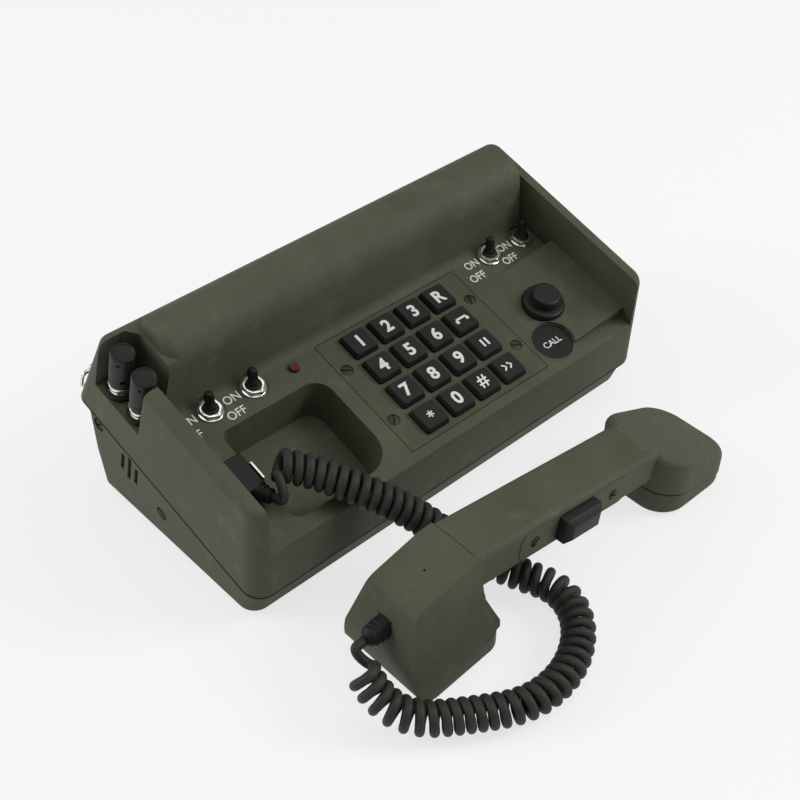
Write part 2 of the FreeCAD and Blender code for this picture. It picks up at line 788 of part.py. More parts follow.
cx = dx(call_x)
bezel = rod(cx, call_y, call_seat, deck_height + call_bezel_proud, bezel_outer)
bezel = bezel.cut(rod(cx, call_y, call_seat - 1, deck_height + 2, call_diameter + 2 * call_gap))
save("call_bezel", to_world(bezel))
call_top = deck_height - call_recess
disc = rod(cx, call_y, call_top - call_thickness, call_top, call_diameter)
disc = disc.fuse(rod(cx, call_y, under - 2, call_top - 0.5, call_stem_diameter)).removeSplitter()
save("call_button", to_world(disc))
call_switch = rod(cx, call_y, under - call_switch_depth, under, call_switch_diameter)
call_switch = call_switch.cut(rod(cx, call_y, under - 2 - call_travel - 0.3, under + 1, call_hole))
save("call_switch", to_world(call_switch))

# binding posts
washers = []
studs = []
washer_top = pocket_floor + post_washer_height
ring_top = washer_top + post_ring_height
for n, y in enumerate(post_y):
    x = dx(post_x)
    stud_hole = rod(x, y, 0, 60, post_stud_diameter + 0.02)
    washers.append(rod(x, y, pocket_floor, washer_top, post_washer_diameter).cut(stud_hole))
    stud = rod(x, y, washer_top, ring_top, post_ring_diameter)
    stud = stud.fuse(rod(x, y, pocket_floor - w - 5, ring_top + post_stud_height, post_stud_diameter))
    stud = stud.fuse(rod(x, y, pocket_floor - w - post_nut_height, pocket_floor - w, post_nut_diameter))
    studs.append(stud.removeSplitter())
    z0 = ring_top + post_cap_gap
    z1 = z0 + post_cap_height
    cap = rod(x, y, z0, z1, post_cap_diameter)
    cap = fillet(cap, 0.8, lambda e: e.BoundBox.ZMin > z1 - 0.01)
    cap = cap.cut([rod(x, y, z0 - 1, z0 + post_skirt_depth, post_ring_diameter + 0.5),
                   rod(x, y, z0 - 1, ring_top + post_stud_height + post_travel + 0.8,
                       post_stud_diameter + 2 * post_clearance)])
    wire_hole = Part.makeCylinder(post_hole_diameter / 2.0, 20, V(x, y, z0 + post_skirt_depth + 2.6), V(0.35, -1, 0))
    flat = box(x - 8, x + 8, y - 12, y - post_cap_diameter / 2.0 + 0.6, z0 - 1, z0 + post_skirt_depth + 6.4)
    flat.rotate(V(x, y, 0), V(0, 0, 1), 19.0)
    cap = cap.cut([flat, wire_hole])
    save("post_cap_%d" % (n + 1), to_world(cap))
save("post_washers", to_world(whole(washers)))
save("post_studs", to_world(whole(studs)))

# strap rings
# lugs stand on the back wall near its ends, a wire ring hangs in each
lugs = []
for n, side in enumerate((-1, 1)):
    x = side * (HALF - strap_end)
    y = back_at(strap_z)
    lean = math.degrees(math.atan(-back_lean))
    plate = box(x - strap_lug_width / 2.0, x + strap_lug_width / 2.0, y, y + strap_lug_plate,
                strap_z - strap_lug_height / 2.0, strap_z + strap_lug_height / 2.0)
    eye_y = y + strap_lug_plate + strap_lug_reach / 2.0
    ear = Part.makeCylinder(strap_lug_reach / 2.0 + 0.6, strap_lug_width - 3.0,
                            V(x - (strap_lug_width - 3.0) / 2.0, eye_y, strap_z), V(1, 0, 0))
    bore = Part.makeCylinder(strap_wire_diameter / 2.0 + strap_clearance, strap_lug_width + 4,
                             V(x - strap_lug_width / 2.0 - 2, eye_y, strap_z), V(1, 0, 0))
    lug = plate.fuse(ear).removeSplitter().cut(bore)
    lug.rotate(V(x, y, strap_z), V(1, 0, 0), lean)
    lugs.append(lug)
    half = strap_ring_width / 2.0
    r = strap_bend_radius
    drop = strap_ring_drop
    k = math.sqrt(0.5)
    q = [V(x - half + r, eye_y, strap_z), V(x + half - r, eye_y, strap_z),
         V(x + half - r + r * k, eye_y, strap_z - r + r * k), V(x + half, eye_y, strap_z - r),
         V(x + half, eye_y, strap_z - drop + r), V(x + half - r + r * k, eye_y, strap_z - drop + r - r * k),
         V(x + half - r, eye_y, strap_z - drop), V(x - half + r, eye_y, strap_z - drop),
         V(x - half + r - r * k, eye_y, strap_z - drop + r - r * k), V(x - half, eye_y, strap_z - drop + r),
         V(x - half, eye_y, strap_z - r), V(x - half + r - r * k, eye_y, strap_z - r + r * k)]
    path = Part.Wire([Part.LineSegment(q[0], q[1]).toShape(), Part.Arc(q[1], q[2], q[3]).toShape(),
                      Part.LineSegment(q[3], q[4]).toShape(), Part.Arc(q[4], q[5], q[6]).toShape(),
                      Part.LineSegment(q[6], q[7]).toShape(), Part.Arc(q[7], q[8], q[9]).toShape(),
                      Part.LineSegment(q[9], q[10]).toShape(), Part.Arc(q[10], q[11], q[0]).toShape()])
    profile = Part.Wire(Part.makeCircle(strap_wire_diameter / 2.0, q[0], V(1, 0, 0)))
    ring = path.makePipeShell([profile], True, False)
    ring.rotate(V(x, y, strap_z), V(1, 0, 0), lean)
    centre = V(x, eye_y, strap_z)
    ring_name = "strap_ring_left" if side < 0 else "strap_ring_right"
    ring.rotate(FreeCAD.Placement(V(0, 0, 0), FreeCAD.Rotation(V(1, 0, 0), lean),
                                  V(x, y, strap_z)).multVec(centre), V(1, 0, 0), -strap_ring_tuck)
    save(ring_name, to_world(ring))
    if side < 0:
        spot = FreeCAD.Placement(V(0, 0, 0), FreeCAD.Rotation(V(1, 0, 0), lean), V(x, y, strap_z)).multVec(centre)
        print("strap eye in the deck frame", [round(c, 3) for c in spot], ring.isValid(), round(ring.Volume, 1))
save("strap_lugs", to_world(whole(lugs)))

# handset
# The handset lies in front of the case on its two caps, mouth end left.
hy = handset_y
half_w = handle_width / 2.0


def handle_top(x):
    return handle_top_left - handle_fall * (x - handle_left)


def handle_bottom(x):
    return handle_bottom_left - handle_bottom_fall * (x - handle_left)


join_z = handle_top(ear_left)
ear_fall = (join_z - ear_end_height) / (ear_right - ear_left)
overlap_x = ear_left + 12.0
handle = prism_y([(handle_left, handle_top_left), (ear_left, join_z),
                  (overlap_x, join_z - ear_fall * 12.0), (overlap_x, handle_bottom(overlap_x)),
                  (handle_left, handle_bottom_left)], hy - half_w, hy + half_w)


def side_edge(e):
    h = e.BoundBox
    return h.YMax - h.YMin < 0.01 and h.XMax - h.XMin > 1.0


handle = fillet(handle, handle_edge_radius, side_edge)

ey = hy + ear_y_shift
ear_half = ear_width / 2.0
er = ear_corner_radius


def seam_z(x):
    return ear_seam_left + (ear_seam_right - ear_seam_left) * (x - ear_left) / (ear_right - ear_left)


ear = rounded_prism(ear_left, ear_right, ey - ear_half, ey + ear_half, 0, 60, [er] * 4)
ear = ear.common(prism_y([(ear_left - 1, seam_z(ear_left - 1)), (ear_right + 1, seam_z(ear_right + 1)),
                          (ear_right + 1, ear_end_height - ear_fall), (ear_left - 1, join_z + ear_fall)],
                         ey - 40, ey + 40))


def ear_top(e):
    ok = True
    for v in e.Vertexes:
        line = join_z - ear_fall * (v.Point.x - ear_left)
        ok = ok and abs(v.Point.z - line) < 0.02
    return ok


ear = fillet(ear, ear_edge_radius, ear_top)
body = handle.fuse(ear).removeSplitter()

# push to talk plate, screws and button on the user's side of the handle
face_y = hy - half_w
axis_fall = (handle_fall + handle_bottom_fall) / 2.0
turn = math.degrees(math.atan(axis_fall))
mid_z = (handle_top(ptt_centre_x) + handle_bottom(ptt_centre_x)) / 2.0


def on_handle(shape):
    shape.rotate(V(0, 0, 0), V(0, 1, 0), turn)
    shape.translate(V(ptt_centre_x, face_y, mid_z))
    return shape


def slab(length, height, y0, y1, radius):
    x, z, r = length / 2.0, height / 2.0, radius
    k = math.sqrt(0.5)
    q = [V(-x + r, y0, -z), V(x - r, y0, -z), V(x - r + r * k, y0, -z + r - r * k), V(x, y0, -z + r),
         V(x, y0, z - r), V(x - r + r * k, y0, z - r + r * k), V(x - r, y0, z), V(-x + r, y0, z),
         V(-x + r - r * k, y0, z - r + r * k), V(-x, y0, z - r), V(-x, y0, -z + r),
         V(-x + r - r * k, y0, -z + r - r * k)]
    wire = Part.Wire([Part.LineSegment(q[0], q[1]).toShape(), Part.Arc(q[1], q[2], q[3]).toShape(),
                      Part.LineSegment(q[3], q[4]).toShape(), Part.Arc(q[4], q[5], q[6]).toShape(),
                      Part.LineSegment(q[6], q[7]).toShape(), Part.Arc(q[7], q[8], q[9]).toShape(),
                      Part.LineSegment(q[9], q[10]).toShape(), Part.Arc(q[10], q[11], q[0]).toShape()])
    return Part.Face(wire).extrude(V(0, y1 - y0, 0))


pl = ptt_plate_length
ph = ptt_plate_height
bl = ptt_button_length
bh = ptt_button_height
pt = ptt_plate_thickness
sink_y = pt * ptt_plate_sunk
plate = slab(pl, ph, -pt + sink_y, sink_y, ptt_plate_corner)
plate_seat = slab(pl + 0.2, ph + 0.2, -1, sink_y, ptt_plate_corner)
hole = slab(bl + 2 * ptt_gap, bh + 2 * ptt_gap, -3, 3, 1.6)
flange = ptt_flange
inside = sink_y + 0.1 + ptt_flange_thickness + ptt_travel + 0.3
well = box(-bl / 2.0 - flange - ptt_gap, bl / 2.0 + flange + ptt_gap, 0, inside,
           -bh / 2.0 - ptt_gap, bh / 2.0 + ptt_gap)
plate = plate.cut(hole)
ptt_screws = []
for sx in (-ptt_screw_pitch / 2.0, ptt_screw_pitch / 2.0):
    spot = Part.makeCylinder(ptt_screw_diameter / 2.0 + 0.1, 5, V(sx, -pt + sink_y + 0.5, 0), V(0, -1, 0))
    shank_hole = Part.makeCylinder(1.3, 12, V(sx, -2, 0), V(0, 1, 0))
    plate = plate.cut([spot, shank_hole])
    head = Part.makeCylinder(ptt_screw_diameter / 2.0, 0.9, V(sx, -pt + sink_y + 0.5, 0), V(0, -1, 0))
    shank = Part.makeCylinder(1.25, 9, V(sx, -pt + sink_y, 0), V(0, 1, 0))
    ptt_screws.append(on_handle(head.fuse(shank).removeSplitter()))
    body_hole = on_handle(Part.makeCylinder(1.3, 10, V(sx, 0, 0), V(0, 1, 0)))
    body = body.cut(body_hole)
body = body.cut([on_handle(plate_seat), on_handle(well)])
button = slab(bl, bh, -ptt_button_proud, sink_y + 0.1 + ptt_flange_thickness, 1.4)
button = fillet(button, ptt_button_chamfer * 0.35,
                lambda e: e.BoundBox.YMax < -ptt_button_proud + 0.01)
button = button.fuse(box(-bl / 2.0 - flange, bl / 2.0 + flange, sink_y + 0.1, sink_y + 0.1 + ptt_flange_thickness,
                         -bh / 2.0 + 0.4, bh / 2.0 - 0.4)).removeSplitter()
save("ptt_plate", on_handle(plate))
save("ptt_screws", whole(ptt_screws))
save("ptt_button", on_handle(button))

# ear cap: a wedge under the seam, with a dished face and sound holes
g = cap_gap
inset = 0.5
ear_cap = rounded_prism(ear_left + inset, ear_right - inset, ey - ear_half + inset, ey + ear_half - inset,
                        0, 60, [er - inset] * 4)
ear_cap = fillet(ear_cap, ear_cap_radius, lambda e: e.BoundBox.ZMax < 0.01)
ear_cap = ear_cap.common(prism_y([(ear_left - 1, -1), (ear_right + 1, -1), (ear_right + 1, seam_z(ear_right + 1) - g),
                                  (ear_left - 1, seam_z(ear_left - 1) - g)], ey - 40, ey + 40))
spigot = rounded_prism(ear_left + 3, ear_right - 3, ey - ear_half + 3, ey + ear_half - 3, 0.5, 60, [er - 3] * 4)
spigot = spigot.common(prism_y([(ear_left - 1, 2), (ear_right + 1, 1.5), (ear_right + 1, seam_z(ear_right + 1)),
                                (ear_left - 1, seam_z(ear_left - 1))], ey - 40, ey + 40))
ear_cap = ear_cap.fuse(spigot).removeSplitter()
ex = (ear_left + ear_right) / 2.0
dish = rod(ex, ey, -1, ear_dish_depth, ear_dish_diameter)
holes = [rod(ex, ey, 0, ear_dish_depth + sound_hole_depth, sound_hole_diameter)]
for k in range(6):
    a6 = math.radians(60 * k)
    holes.append(rod(ex + sound_hole_pitch * math.cos(a6), ey + sound_hole_pitch * math.sin(a6), 0,
                     ear_dish_depth + sound_hole_depth, sound_hole_diameter))
ear_cap = ear_cap.cut([dish] + holes)
save("ear_cap", ear_cap)

# mouth block: a drooping end with flared sides, on a tilted cap
mx0 = mouth_left
mr = mouth_nose_radius
nose_x = mx0 + mr
nose_z = handle_top_left - mouth_top_drop - mr
k = math.sqrt(0.5)


def mouth_seam(x):
    return mouth_seam_right + mouth_seam_slope * (x - mouth_right)


toe_x = mx0 + mouth_toe
pts = [V(handle_left, 0, handle_top_left), V(nose_x, 0, nose_z + mr), V(nose_x - mr * k, 0, nose_z + mr * k),
       V(mx0, 0, nose_z), V(mx0 + 1.0, 0, mouth_toe), V(toe_x, 0, mouth_seam(toe_x)),
       V(mouth_right, 0, mouth_seam_right), V(mouth_right, 0, handle_bottom(mouth_right) - 0.3),
       V(handle_left, 0, handle_bottom_left - 0.3)]
wire = Part.Wire([Part.LineSegment(pts[0], pts[1]).toShape(), Part.Arc(pts[1], pts[2], pts[3]).toShape(),
                  Part.LineSegment(pts[3], pts[4]).toShape(), Part.LineSegment(pts[4], pts[5]).toShape(),
                  Part.LineSegment(pts[5], pts[6]).toShape(), Part.LineSegment(pts[6], pts[7]).toShape(),
                  Part.LineSegment(pts[7], pts[8]).toShape(), Part.LineSegment(pts[8], pts[0]).toShape()])
mouth = Part.Face(wire).extrude(V(0, 80, 0))
mouth.translate(V(0, hy - 40, 0))
my = hy + mouth_y_shift
t = mouth_top_width / 2.0
m = mouth_base_width / 2.0
mouth = mouth.common(prism_x([(hy - half_w - 0.6, handle_top_left + 0.1), (hy + half_w + 0.6, handle_top_left + 0.1),
                              (my + m, mouth_flare_height), (my + m, -1), (my - m, -1),
                              (my - m, mouth_flare_height)], mx0 - 10, mouth_right + 10))
mc = mouth_corner_radius
plan = rounded_prism(mx0 - 0.5, mouth_right + 0.01, my - m - 0.3, my + m + 0.3, -1, 80, (mc, 5.0, 5.0, mc))
mouth = mouth.common(plan)


def mouth_ridge(e):
    h = e.BoundBox
    return h.ZMin > nose_z - 1 and h.XMax < handle_left + 0.1 and h.XMax - h.XMin > 10 and h.ZMax > nose_z + mr - 1


mouth = fillet(mouth, mouth_edge_radius, mouth_ridge)

mouth_cap = prism_y([(toe_x + 2.5, mouth_seam(toe_x + 2.5) - g), (toe_x + 5.0, 0), (mouth_right + 1.0, mouth_cap_rise),
                     (mouth_right, mouth_seam_right - g)], my - 40, my + 40)
cap_plan = rounded_prism(mx0 + mc * 0.5, mouth_right + 1.0, my - m + inset, my + m - inset, -1, 40,
                         (mc, 8.0, 8.0, mc))
mouth_cap = mouth_cap.common(cap_plan)
seat = prism_y([(toe_x + 8, mouth_seam(toe_x + 8) - g - 1), (toe_x + 8, mouth_seam(toe_x + 8)),
                (mouth_right - 3, mouth_seam(mouth_right - 3)), (mouth_right - 3, mouth_seam(mouth_right - 3) - g - 1)],
               my - m + 4, my + m - 4)
mouth_cap = mouth_cap.fuse(seat).removeSplitter()
mcx = (toe_x + mouth_right) / 2.0
slope = math.atan(mouth_cap_rise / (mouth_right + 1.0 - toe_x - 5.0))
low_z = (mcx - toe_x - 5.0) * math.tan(slope)
normal = V(-math.sin(slope), 0, math.cos(slope))
bores = []
for ring in (0, 1):
    for n in range(1 if ring == 0 else 6):
        a6 = math.radians(60 * n)
        spot = V(mcx + ring * sound_hole_pitch * math.cos(a6) * math.cos(slope),
                 my + ring * sound_hole_pitch * math.sin(a6),
                 low_z + ring * sound_hole_pitch * math.cos(a6) * math.sin(slope))
        bores.append(Part.makeCylinder(sound_hole_diameter / 2.0, sound_hole_depth + 1, spot - normal, normal))
mouth_cap = mouth_cap.cut(bores)
save("mouth_cap", mouth_cap)

# strain relief on the nose of the mouth block, drooping away from it
droop = math.radians(handset_boot_fall)
out = V(-math.cos(droop), 0, -math.sin(droop))
boot_root = V(handset_boot_x, hy + handset_boot_shift, handset_boot_z)
boot_r = handset_boot_diameter / 2.0
boot = Part.makeCone(boot_r, handset_boot_tip / 2.0, handset_boot_length, boot_root, out)
for n in range(3):
    boot = boot.fuse(Part.makeCylinder(boot_r - 0.45 * n, 1.6, boot_root + out * (4.5 + n * 3.0), out))
boot = boot.removeSplitter()
socket = Part.makeCylinder(boot_r + 0.05, 30, boot_root, out)
mouth = mouth.cut(socket)
save("mouth_block", mouth)
save("handset_body", body)
save("handset_boot", boot)
handset_exit = boot_root + out * handset_boot_length
print("mouth block", mouth.isValid(), len(mouth.Solids), "handset body", body.isValid(), len(body.Solids))

# cord gland on the case
gx0 = gland_x - gland_width / 2.0
gland = box(dx(gx0), dx(gx0 + gland_width), gland_front_y, gland_front_y + gland_length,
            deck_height, deck_height + gland_height)
gland = fillet(gland, 1.2, lambda e: e.BoundBox.ZMin > deck_height + gland_height - 0.01)
save("gland_block", to_world(gland))
clip = box(dx(gx0 + gland_width), dx(gx0 + gland_width) + gland_clip_thickness,
           gland_front_y + gland_clip_inset, gland_front_y + gland_clip_inset + gland_clip_length,
           deck_height, deck_height + gland_height + 0.6)
save("gland_clip", to_world(clip))
swing = math.radians(base_boot_swing)
lift = math.radians(base_boot_lift)
way = V(math.sin(swing) * math.cos(lift), -math.cos(swing) * math.cos(lift), math.sin(lift))
root = V(dx(gland_x) + base_boot_shift, gland_front_y + 2.0, deck_height + gland_height * 0.5)
base_boot = Part.makeCone(base_boot_diameter / 2.0, base_boot_tip / 2.0, base_boot_length, root, way)
for n in range(2):
    base_boot = base_boot.fuse(Part.makeCylinder(base_boot_diameter / 2.0 - 0.4 * n, 1.5,
                                                 root + way * (4.0 + n * 3.0), way))
base_boot = base_boot.cut(gland).removeSplitter()
save("base_boot", to_world(base_boot))
tip = root + way * base_boot_length
base_exit = deck_point(tip.x, tip.y, tip.z)
ahead = deck_point(tip.x + way.x, tip.y + way.y, tip.z + way.z) - base_exit
print("base exit", [round(c, 2) for c in base_exit], "towards", [round(c, 3) for c in ahead])
print("handset exit", [round(c, 2) for c in handset_exit], "towards", [round(c, 3) for c in out])

# Coiled cord.  The axis of the coil follows hand chosen points; the wire is
# wound round it, its turns a little further apart where the axis bends, so
# the turns keep the same gap on the inside of a bend as on the straight.
wire_r = cord_diameter / 2.0
wind_r = (coil_diameter - cord_diameter) / 2.0
route = [V(*p) for p in coil_route]
stretches = []
at = route[0]
facing = (route[1] - route[0]).normalize()
radii = []
for n in range(1, len(route)):
    here = route[n]
    before = here - route[n - 1]
    if n == len(route) - 1:
        stretches.append((at, facing, here.distanceToPoint(at), None))
        break
    after = route[n + 1] - here
    short = 0.45 * min(before.Length, after.Length)
    turn = before.getAngle(after)
    bend = short / math.tan(turn / 2.0)
    radii.append(round(bend, 1))
    first = here - before.normalize() * short
    stretches.append((at, facing, first.distanceToPoint(at), None))
    axis = before.cross(after.normalize()).normalize()
    stretches.append((first, before, bend * turn, (bend, axis)))
    at = here + after * short
    facing = after
print("coil axis radii", radii)

# the frame that the wire turns in is carried along the axis without twist
frames = []
side = stretches[0][1].cross(V(0, 0, 1)).normalize()
for start, along_it, length, arc in stretches:
    frames.append((start, along_it, side, length, arc))
    if arc:
        side = FreeCAD.Rotation(arc[1], math.degrees(length / arc[0])).multVec(side)


def on_axis(n, s):
    start, forward, side, length, arc = frames[n]
    if arc is None:
        return start + forward * s, forward, side
    rotation = FreeCAD.Rotation(arc[1], math.degrees(s / arc[0]))
    centre = start + arc[1].cross(forward) * arc[0]
    return centre + rotation.multVec(start - centre), rotation.multVec(forward), rotation.multVec(side)


phases = [0.0]
for start, forward, side, length, arc in frames:
    pitch = coil_pitch / (1.0 - wind_r / arc[0]) if arc else coil_pitch
    phases.append(phases[-1] + 2 * math.pi * length / pitch)
turns = phases[-1] / (2 * math.pi)


def on_coil(phase):
    n = 0
    while n < len(frames) - 1 and phase > phases[n + 1]:
        n += 1
    share = (phase - phases[n]) / (phases[n + 1] - phases[n])
    place, forward, side = on_axis(n, share * frames[n][3])
    up = side.cross(forward)
    angle = phase * coil_hand + math.radians(coil_start_angle)
    return place + (side * math.cos(angle) + up * math.sin(angle)) * wind_r


def heading(phase):
    return (on_coil(phase + 0.02) - on_coil(phase - 0.02)).normalize()


def biarc(p0, t0, p1, t1):
    v = p1 - p0
    t = t0 + t1
    b = v.dot(t)
    c = 2.0 * (1.0 - t0.dot(t1))
    d = v.dot(v) / (2.0 * b) if c < 1e-9 else (math.sqrt(b * b + c * v.dot(v)) - b) / c
    q0 = p0 + t0 * d
    q1 = p1 - t1 * d
    middle = (q0 + q1) * 0.5
    found = []
    for a, q, e in ((p0, q0, middle), (middle, q1, p1)):
        half = (q - a).getAngle(e - q) / 2.0
        chord = (a + e) * 0.5
        found.append((a, chord + (q - chord) * (math.cos(half) / (1 + math.cos(half))), e, d / math.tan(half)))
    return found


first_phase = math.radians(coil_lead_in)
last_phase = phases[-1] - math.radians(coil_lead_out)
count = int(round((last_phase - first_phase) / math.pi))
step = (last_phase - first_phase) / count
knots = [(base_exit + ahead * cord_diameter, ahead)]
knots += [(on_coil(first_phase + step * n), heading(first_phase + step * n)) for n in range(count + 1)]
knots.append((handset_exit + out * cord_diameter, -out))
arcs = []
for (p0, t0), (p1, t1) in zip(knots[:-1], knots[1:]):
    arcs += biarc(p0, t0, p1, t1)
edges = [Part.LineSegment(base_exit, knots[0][0]).toShape()]
edges += [Part.Arc(a, b, c).toShape() for a, b, c, r in arcs]
edges.append(Part.LineSegment(knots[-1][0], handset_exit).toShape())
path = Part.Wire(edges)

# the least gap between turns, measured on points along the wire
spots = []
length = 0.0
for edge in edges:
    for n in range(6):
        spots.append((length + edge.Length * n / 6.0, edge.valueAt(
            edge.FirstParameter + (edge.LastParameter - edge.FirstParameter) * n / 6.0)))
    length += edge.Length
least = 99.0
for n in range(len(spots)):
    for other in range(n + 1, min(n + 120, len(spots))):
        if spots[other][0] - spots[n][0] > 12.0:
            apart = spots[n][1].distanceToPoint(spots[other][1]) - cord_diameter
            if apart < least:
                least = apart
                near = spots[n][1]
print("cord curls", round(turns, 1), "wire length", round(length, 1), "least gap", round(least, 2), "at",
      [round(c, 1) for c in near], "tightest bend", round(min(a[3] for a in arcs), 2),
      "first arcs", [round(a[3], 1) for a in arcs[:4]], "last arcs", [round(a[3], 1) for a in arcs[-4:]],
      "lowest", round(min(p.z for s, p in spots) - wire_r, 2))
profile = Part.Wire(Part.makeCircle(wire_r, base_exit, ahead))
cord = path.makePipeShell([profile], True, False)
save("cord", cord)
print("cord", cord.isValid(), len(cord.Solids), round(cord.Volume))
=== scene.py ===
import bpy
import json
import math
from mathutils import Matrix, Vector


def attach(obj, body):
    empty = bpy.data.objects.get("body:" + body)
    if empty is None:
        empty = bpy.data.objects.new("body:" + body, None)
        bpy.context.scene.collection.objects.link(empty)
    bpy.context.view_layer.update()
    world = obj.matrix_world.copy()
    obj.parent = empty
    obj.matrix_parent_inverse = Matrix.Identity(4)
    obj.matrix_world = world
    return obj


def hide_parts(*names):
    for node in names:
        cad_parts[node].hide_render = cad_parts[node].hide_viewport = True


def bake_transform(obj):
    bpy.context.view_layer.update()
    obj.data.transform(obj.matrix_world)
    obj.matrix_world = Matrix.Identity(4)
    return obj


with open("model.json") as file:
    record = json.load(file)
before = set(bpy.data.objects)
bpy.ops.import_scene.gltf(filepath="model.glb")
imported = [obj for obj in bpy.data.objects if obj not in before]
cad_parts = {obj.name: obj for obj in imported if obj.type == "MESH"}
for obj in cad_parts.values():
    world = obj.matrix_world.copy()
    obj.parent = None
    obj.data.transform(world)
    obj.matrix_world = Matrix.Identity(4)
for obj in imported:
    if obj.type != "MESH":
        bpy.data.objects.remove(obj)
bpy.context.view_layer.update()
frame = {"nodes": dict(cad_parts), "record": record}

# The case leans back on its base.  Most of what is on it is laid out on the
# deck, so places there are given from the case's left side and its parting
# line's front edge, along the deck and square to it.
MM = 0.001
TILT = math.radians(16.0)
FRONT_REACH = 0.0266
PARTING_HEIGHT = 0.0172
DECK = 0.024
HALF_CASE = 0.120
DECK_TURN = Matrix.Rotation(TILT, 4, "X")
DECK_PLACE = Matrix.Translation((0, -FRONT_REACH, PARTING_HEIGHT)) @ DECK_TURN

# Camera, from the photograph's perspective

CAMERA_PLACE = (-0.32680, -0.33143, 0.45446)
CAMERA_AHEAD = (0.51215, 0.54476, -0.66403)
CAMERA_RIGHT = (0.73472, -0.67830, 0.01021)
CAMERA_LENS = 61.68


def set_camera():
    ahead = Vector(CAMERA_AHEAD).normalized()
    right = Vector(CAMERA_RIGHT).normalized()
    up = right.cross(ahead)
    camera = bpy.data.cameras.new("camera")
    camera.sensor_width = 36.0
    camera.lens = CAMERA_LENS
    camera.clip_start = 0.01
    seat = bpy.data.objects.new("camera", camera)
    bpy.context.scene.collection.objects.link(seat)
    turn = Matrix((right, up, -ahead)).transposed()
    seat.matrix_world = Matrix.Translation(CAMERA_PLACE) @ turn.to_4x4()
    bpy.context.scene.camera = seat


set_camera()

# Shader maths

class Value:
    """A number on its way through a shader.  Sums written with it become Math nodes."""

    def __init__(self, finish, socket):
        self.finish = finish
        self.socket = socket

    def maths(self, operation, *values):
        return self.finish.add("ShaderNodeMath", {"operation": operation}, dict(enumerate(values)))

    def __add__(self, other):
        return self.maths("ADD", self, other)

    __radd__ = __add__

    def __mul__(self, other):
        return self.maths("MULTIPLY", self, other)

    __rmul__ = __mul__

    def __sub__(self, other):
        return self.maths("SUBTRACT", self, other)


class Finish:
    """A material for one kind of surface, on a Principled shader."""

    def __init__(self, name, **constants):
        self.material = bpy.data.materials.new(name)
        self.material.use_nodes = True
        self.tree = self.material.node_tree
        self.shader = self.tree.nodes["Principled BSDF"]
        for socket, value in constants.items():
            self.shader.inputs[socket.replace("_", " ")].default_value = value
        self.place = None

    def add(self, kind, settings=None, sockets=None, out=0):
        node = self.tree.nodes.new(kind)
        for key, value in (settings or {}).items():
            setattr(node, key, value)
        for key, value in (sockets or {}).items():
            if isinstance(value, Value):
                self.tree.links.new(value.socket, node.inputs[key])
            else:
                node.inputs[key].default_value = value
        return Value(self, node.outputs[out])

    def where(self):
        """The place on the piece, in metres."""
        if self.place is None:
            self.place = self.add("ShaderNodeTexCoord", out="Object")
        return self.place

    def noise(self, scale, detail=2.0, roughness=0.5):
        sockets = {"Vector": self.where(), "Scale": scale, "Detail": detail, "Roughness": roughness}
        return self.add("ShaderNodeTexNoise", {}, sockets, out="Fac")

    def spread(self, value, low, high):
        """value from low to high, turned into 0 to 1."""
        return self.add("ShaderNodeMapRange", {"clamp": True},
                        {"Value": value, "From Min": low, "From Max": high, "To Min": 0.0, "To Max": 1.0})

    def blend(self, share, first, second):
        first = (*first, 1.0) if isinstance(first, tuple) and len(first) == 3 else first
        second = (*second, 1.0) if isinstance(second, tuple) and len(second) == 3 else second
        return self.add("ShaderNodeMix", {"data_type": "RGBA"}, {0: share, 6: first, 7: second}, out=2)

    def feed(self, socket, value):
        self.tree.links.new(value.socket, self.shader.inputs[socket])

    def bump(self, height, depth):
        relief = self.add("ShaderNodeBump", {}, {"Height": height, "Distance": depth, "Strength": 1.0})
        self.feed("Normal", relief)


def shade(red, green, blue):
    """A colour as seen on a screen, 0 to 255, in the shader's own scale."""
    return tuple(((c / 255.0 + 0.055) / 1.055) ** 2.4 if c > 10 else c / 255.0 / 12.92
                 for c in (red, green, blue))


def moulded_olive(name, base, pale, dark, grain=0.00006):
    """Thick moulded plastic in olive drab: mottled, a little chalky where it has been handled."""
    finish = Finish(name, Specular_IOR_Level=0.32)
    clouds = finish.noise(26.0, 4.0, 0.6)
    specks = finish.noise(900.0, 3.0, 0.6)
    rubbed = finish.spread(finish.noise(70.0, 5.0, 0.7), 0.55, 0.75)
    colour = finish.blend(finish.spread(clouds, 0.32, 0.68), dark, base)
    colour = finish.blend(rubbed * 0.35, colour, pale)
    colour = finish.blend(finish.spread(specks, 0.60, 0.74) * 0.35, colour, pale)
    finish.feed("Base Color", colour)
    finish.feed("Roughness", 0.58 + clouds * 0.16 - rubbed * 0.05)
    finish.bump(finish.noise(1500.0, 3.0, 0.65) + finish.noise(420.0, 2.0) * 0.5, grain)
    return finish.material


def plain_black(name, base, gloss, grain, dust=0.25):
    """Black plastic or rubber with a little dust in its grain."""
    finish = Finish(name, Specular_IOR_Level=0.28)
    clouds = finish.noise(60.0, 3.0, 0.6)
    motes = finish.spread(finish.noise(1300.0, 3.0, 0.65), 0.58, 0.78)
    dusty = tuple(c * 1.9 + 0.006 for c in base)
    colour = finish.blend(finish.spread(clouds, 0.3, 0.75) * dust, base, dusty)
    colour = finish.blend(motes * dust, colour, dusty)
    finish.feed("Base Color", colour)
    finish.feed("Roughness", gloss + clouds * 0.14)
    finish.bump(finish.noise(1700.0, 2.0, 0.6), grain)
    return finish.material


def plated(name, base, gloss):
    """Bright plating, with fine scratches and a few dull spots."""
    finish = Finish(name, Metallic=1.0)
    spots = finish.spread(finish.noise(350.0, 4.0, 0.65), 0.5, 0.8)
    finish.feed("Base Color", finish.blend(spots * 0.3, base, tuple(c * 0.6 for c in base)))
    finish.feed("Roughness", gloss + spots * 0.12)
    finish.bump(finish.noise(1600.0, 2.0), 0.000002)
    return finish.material


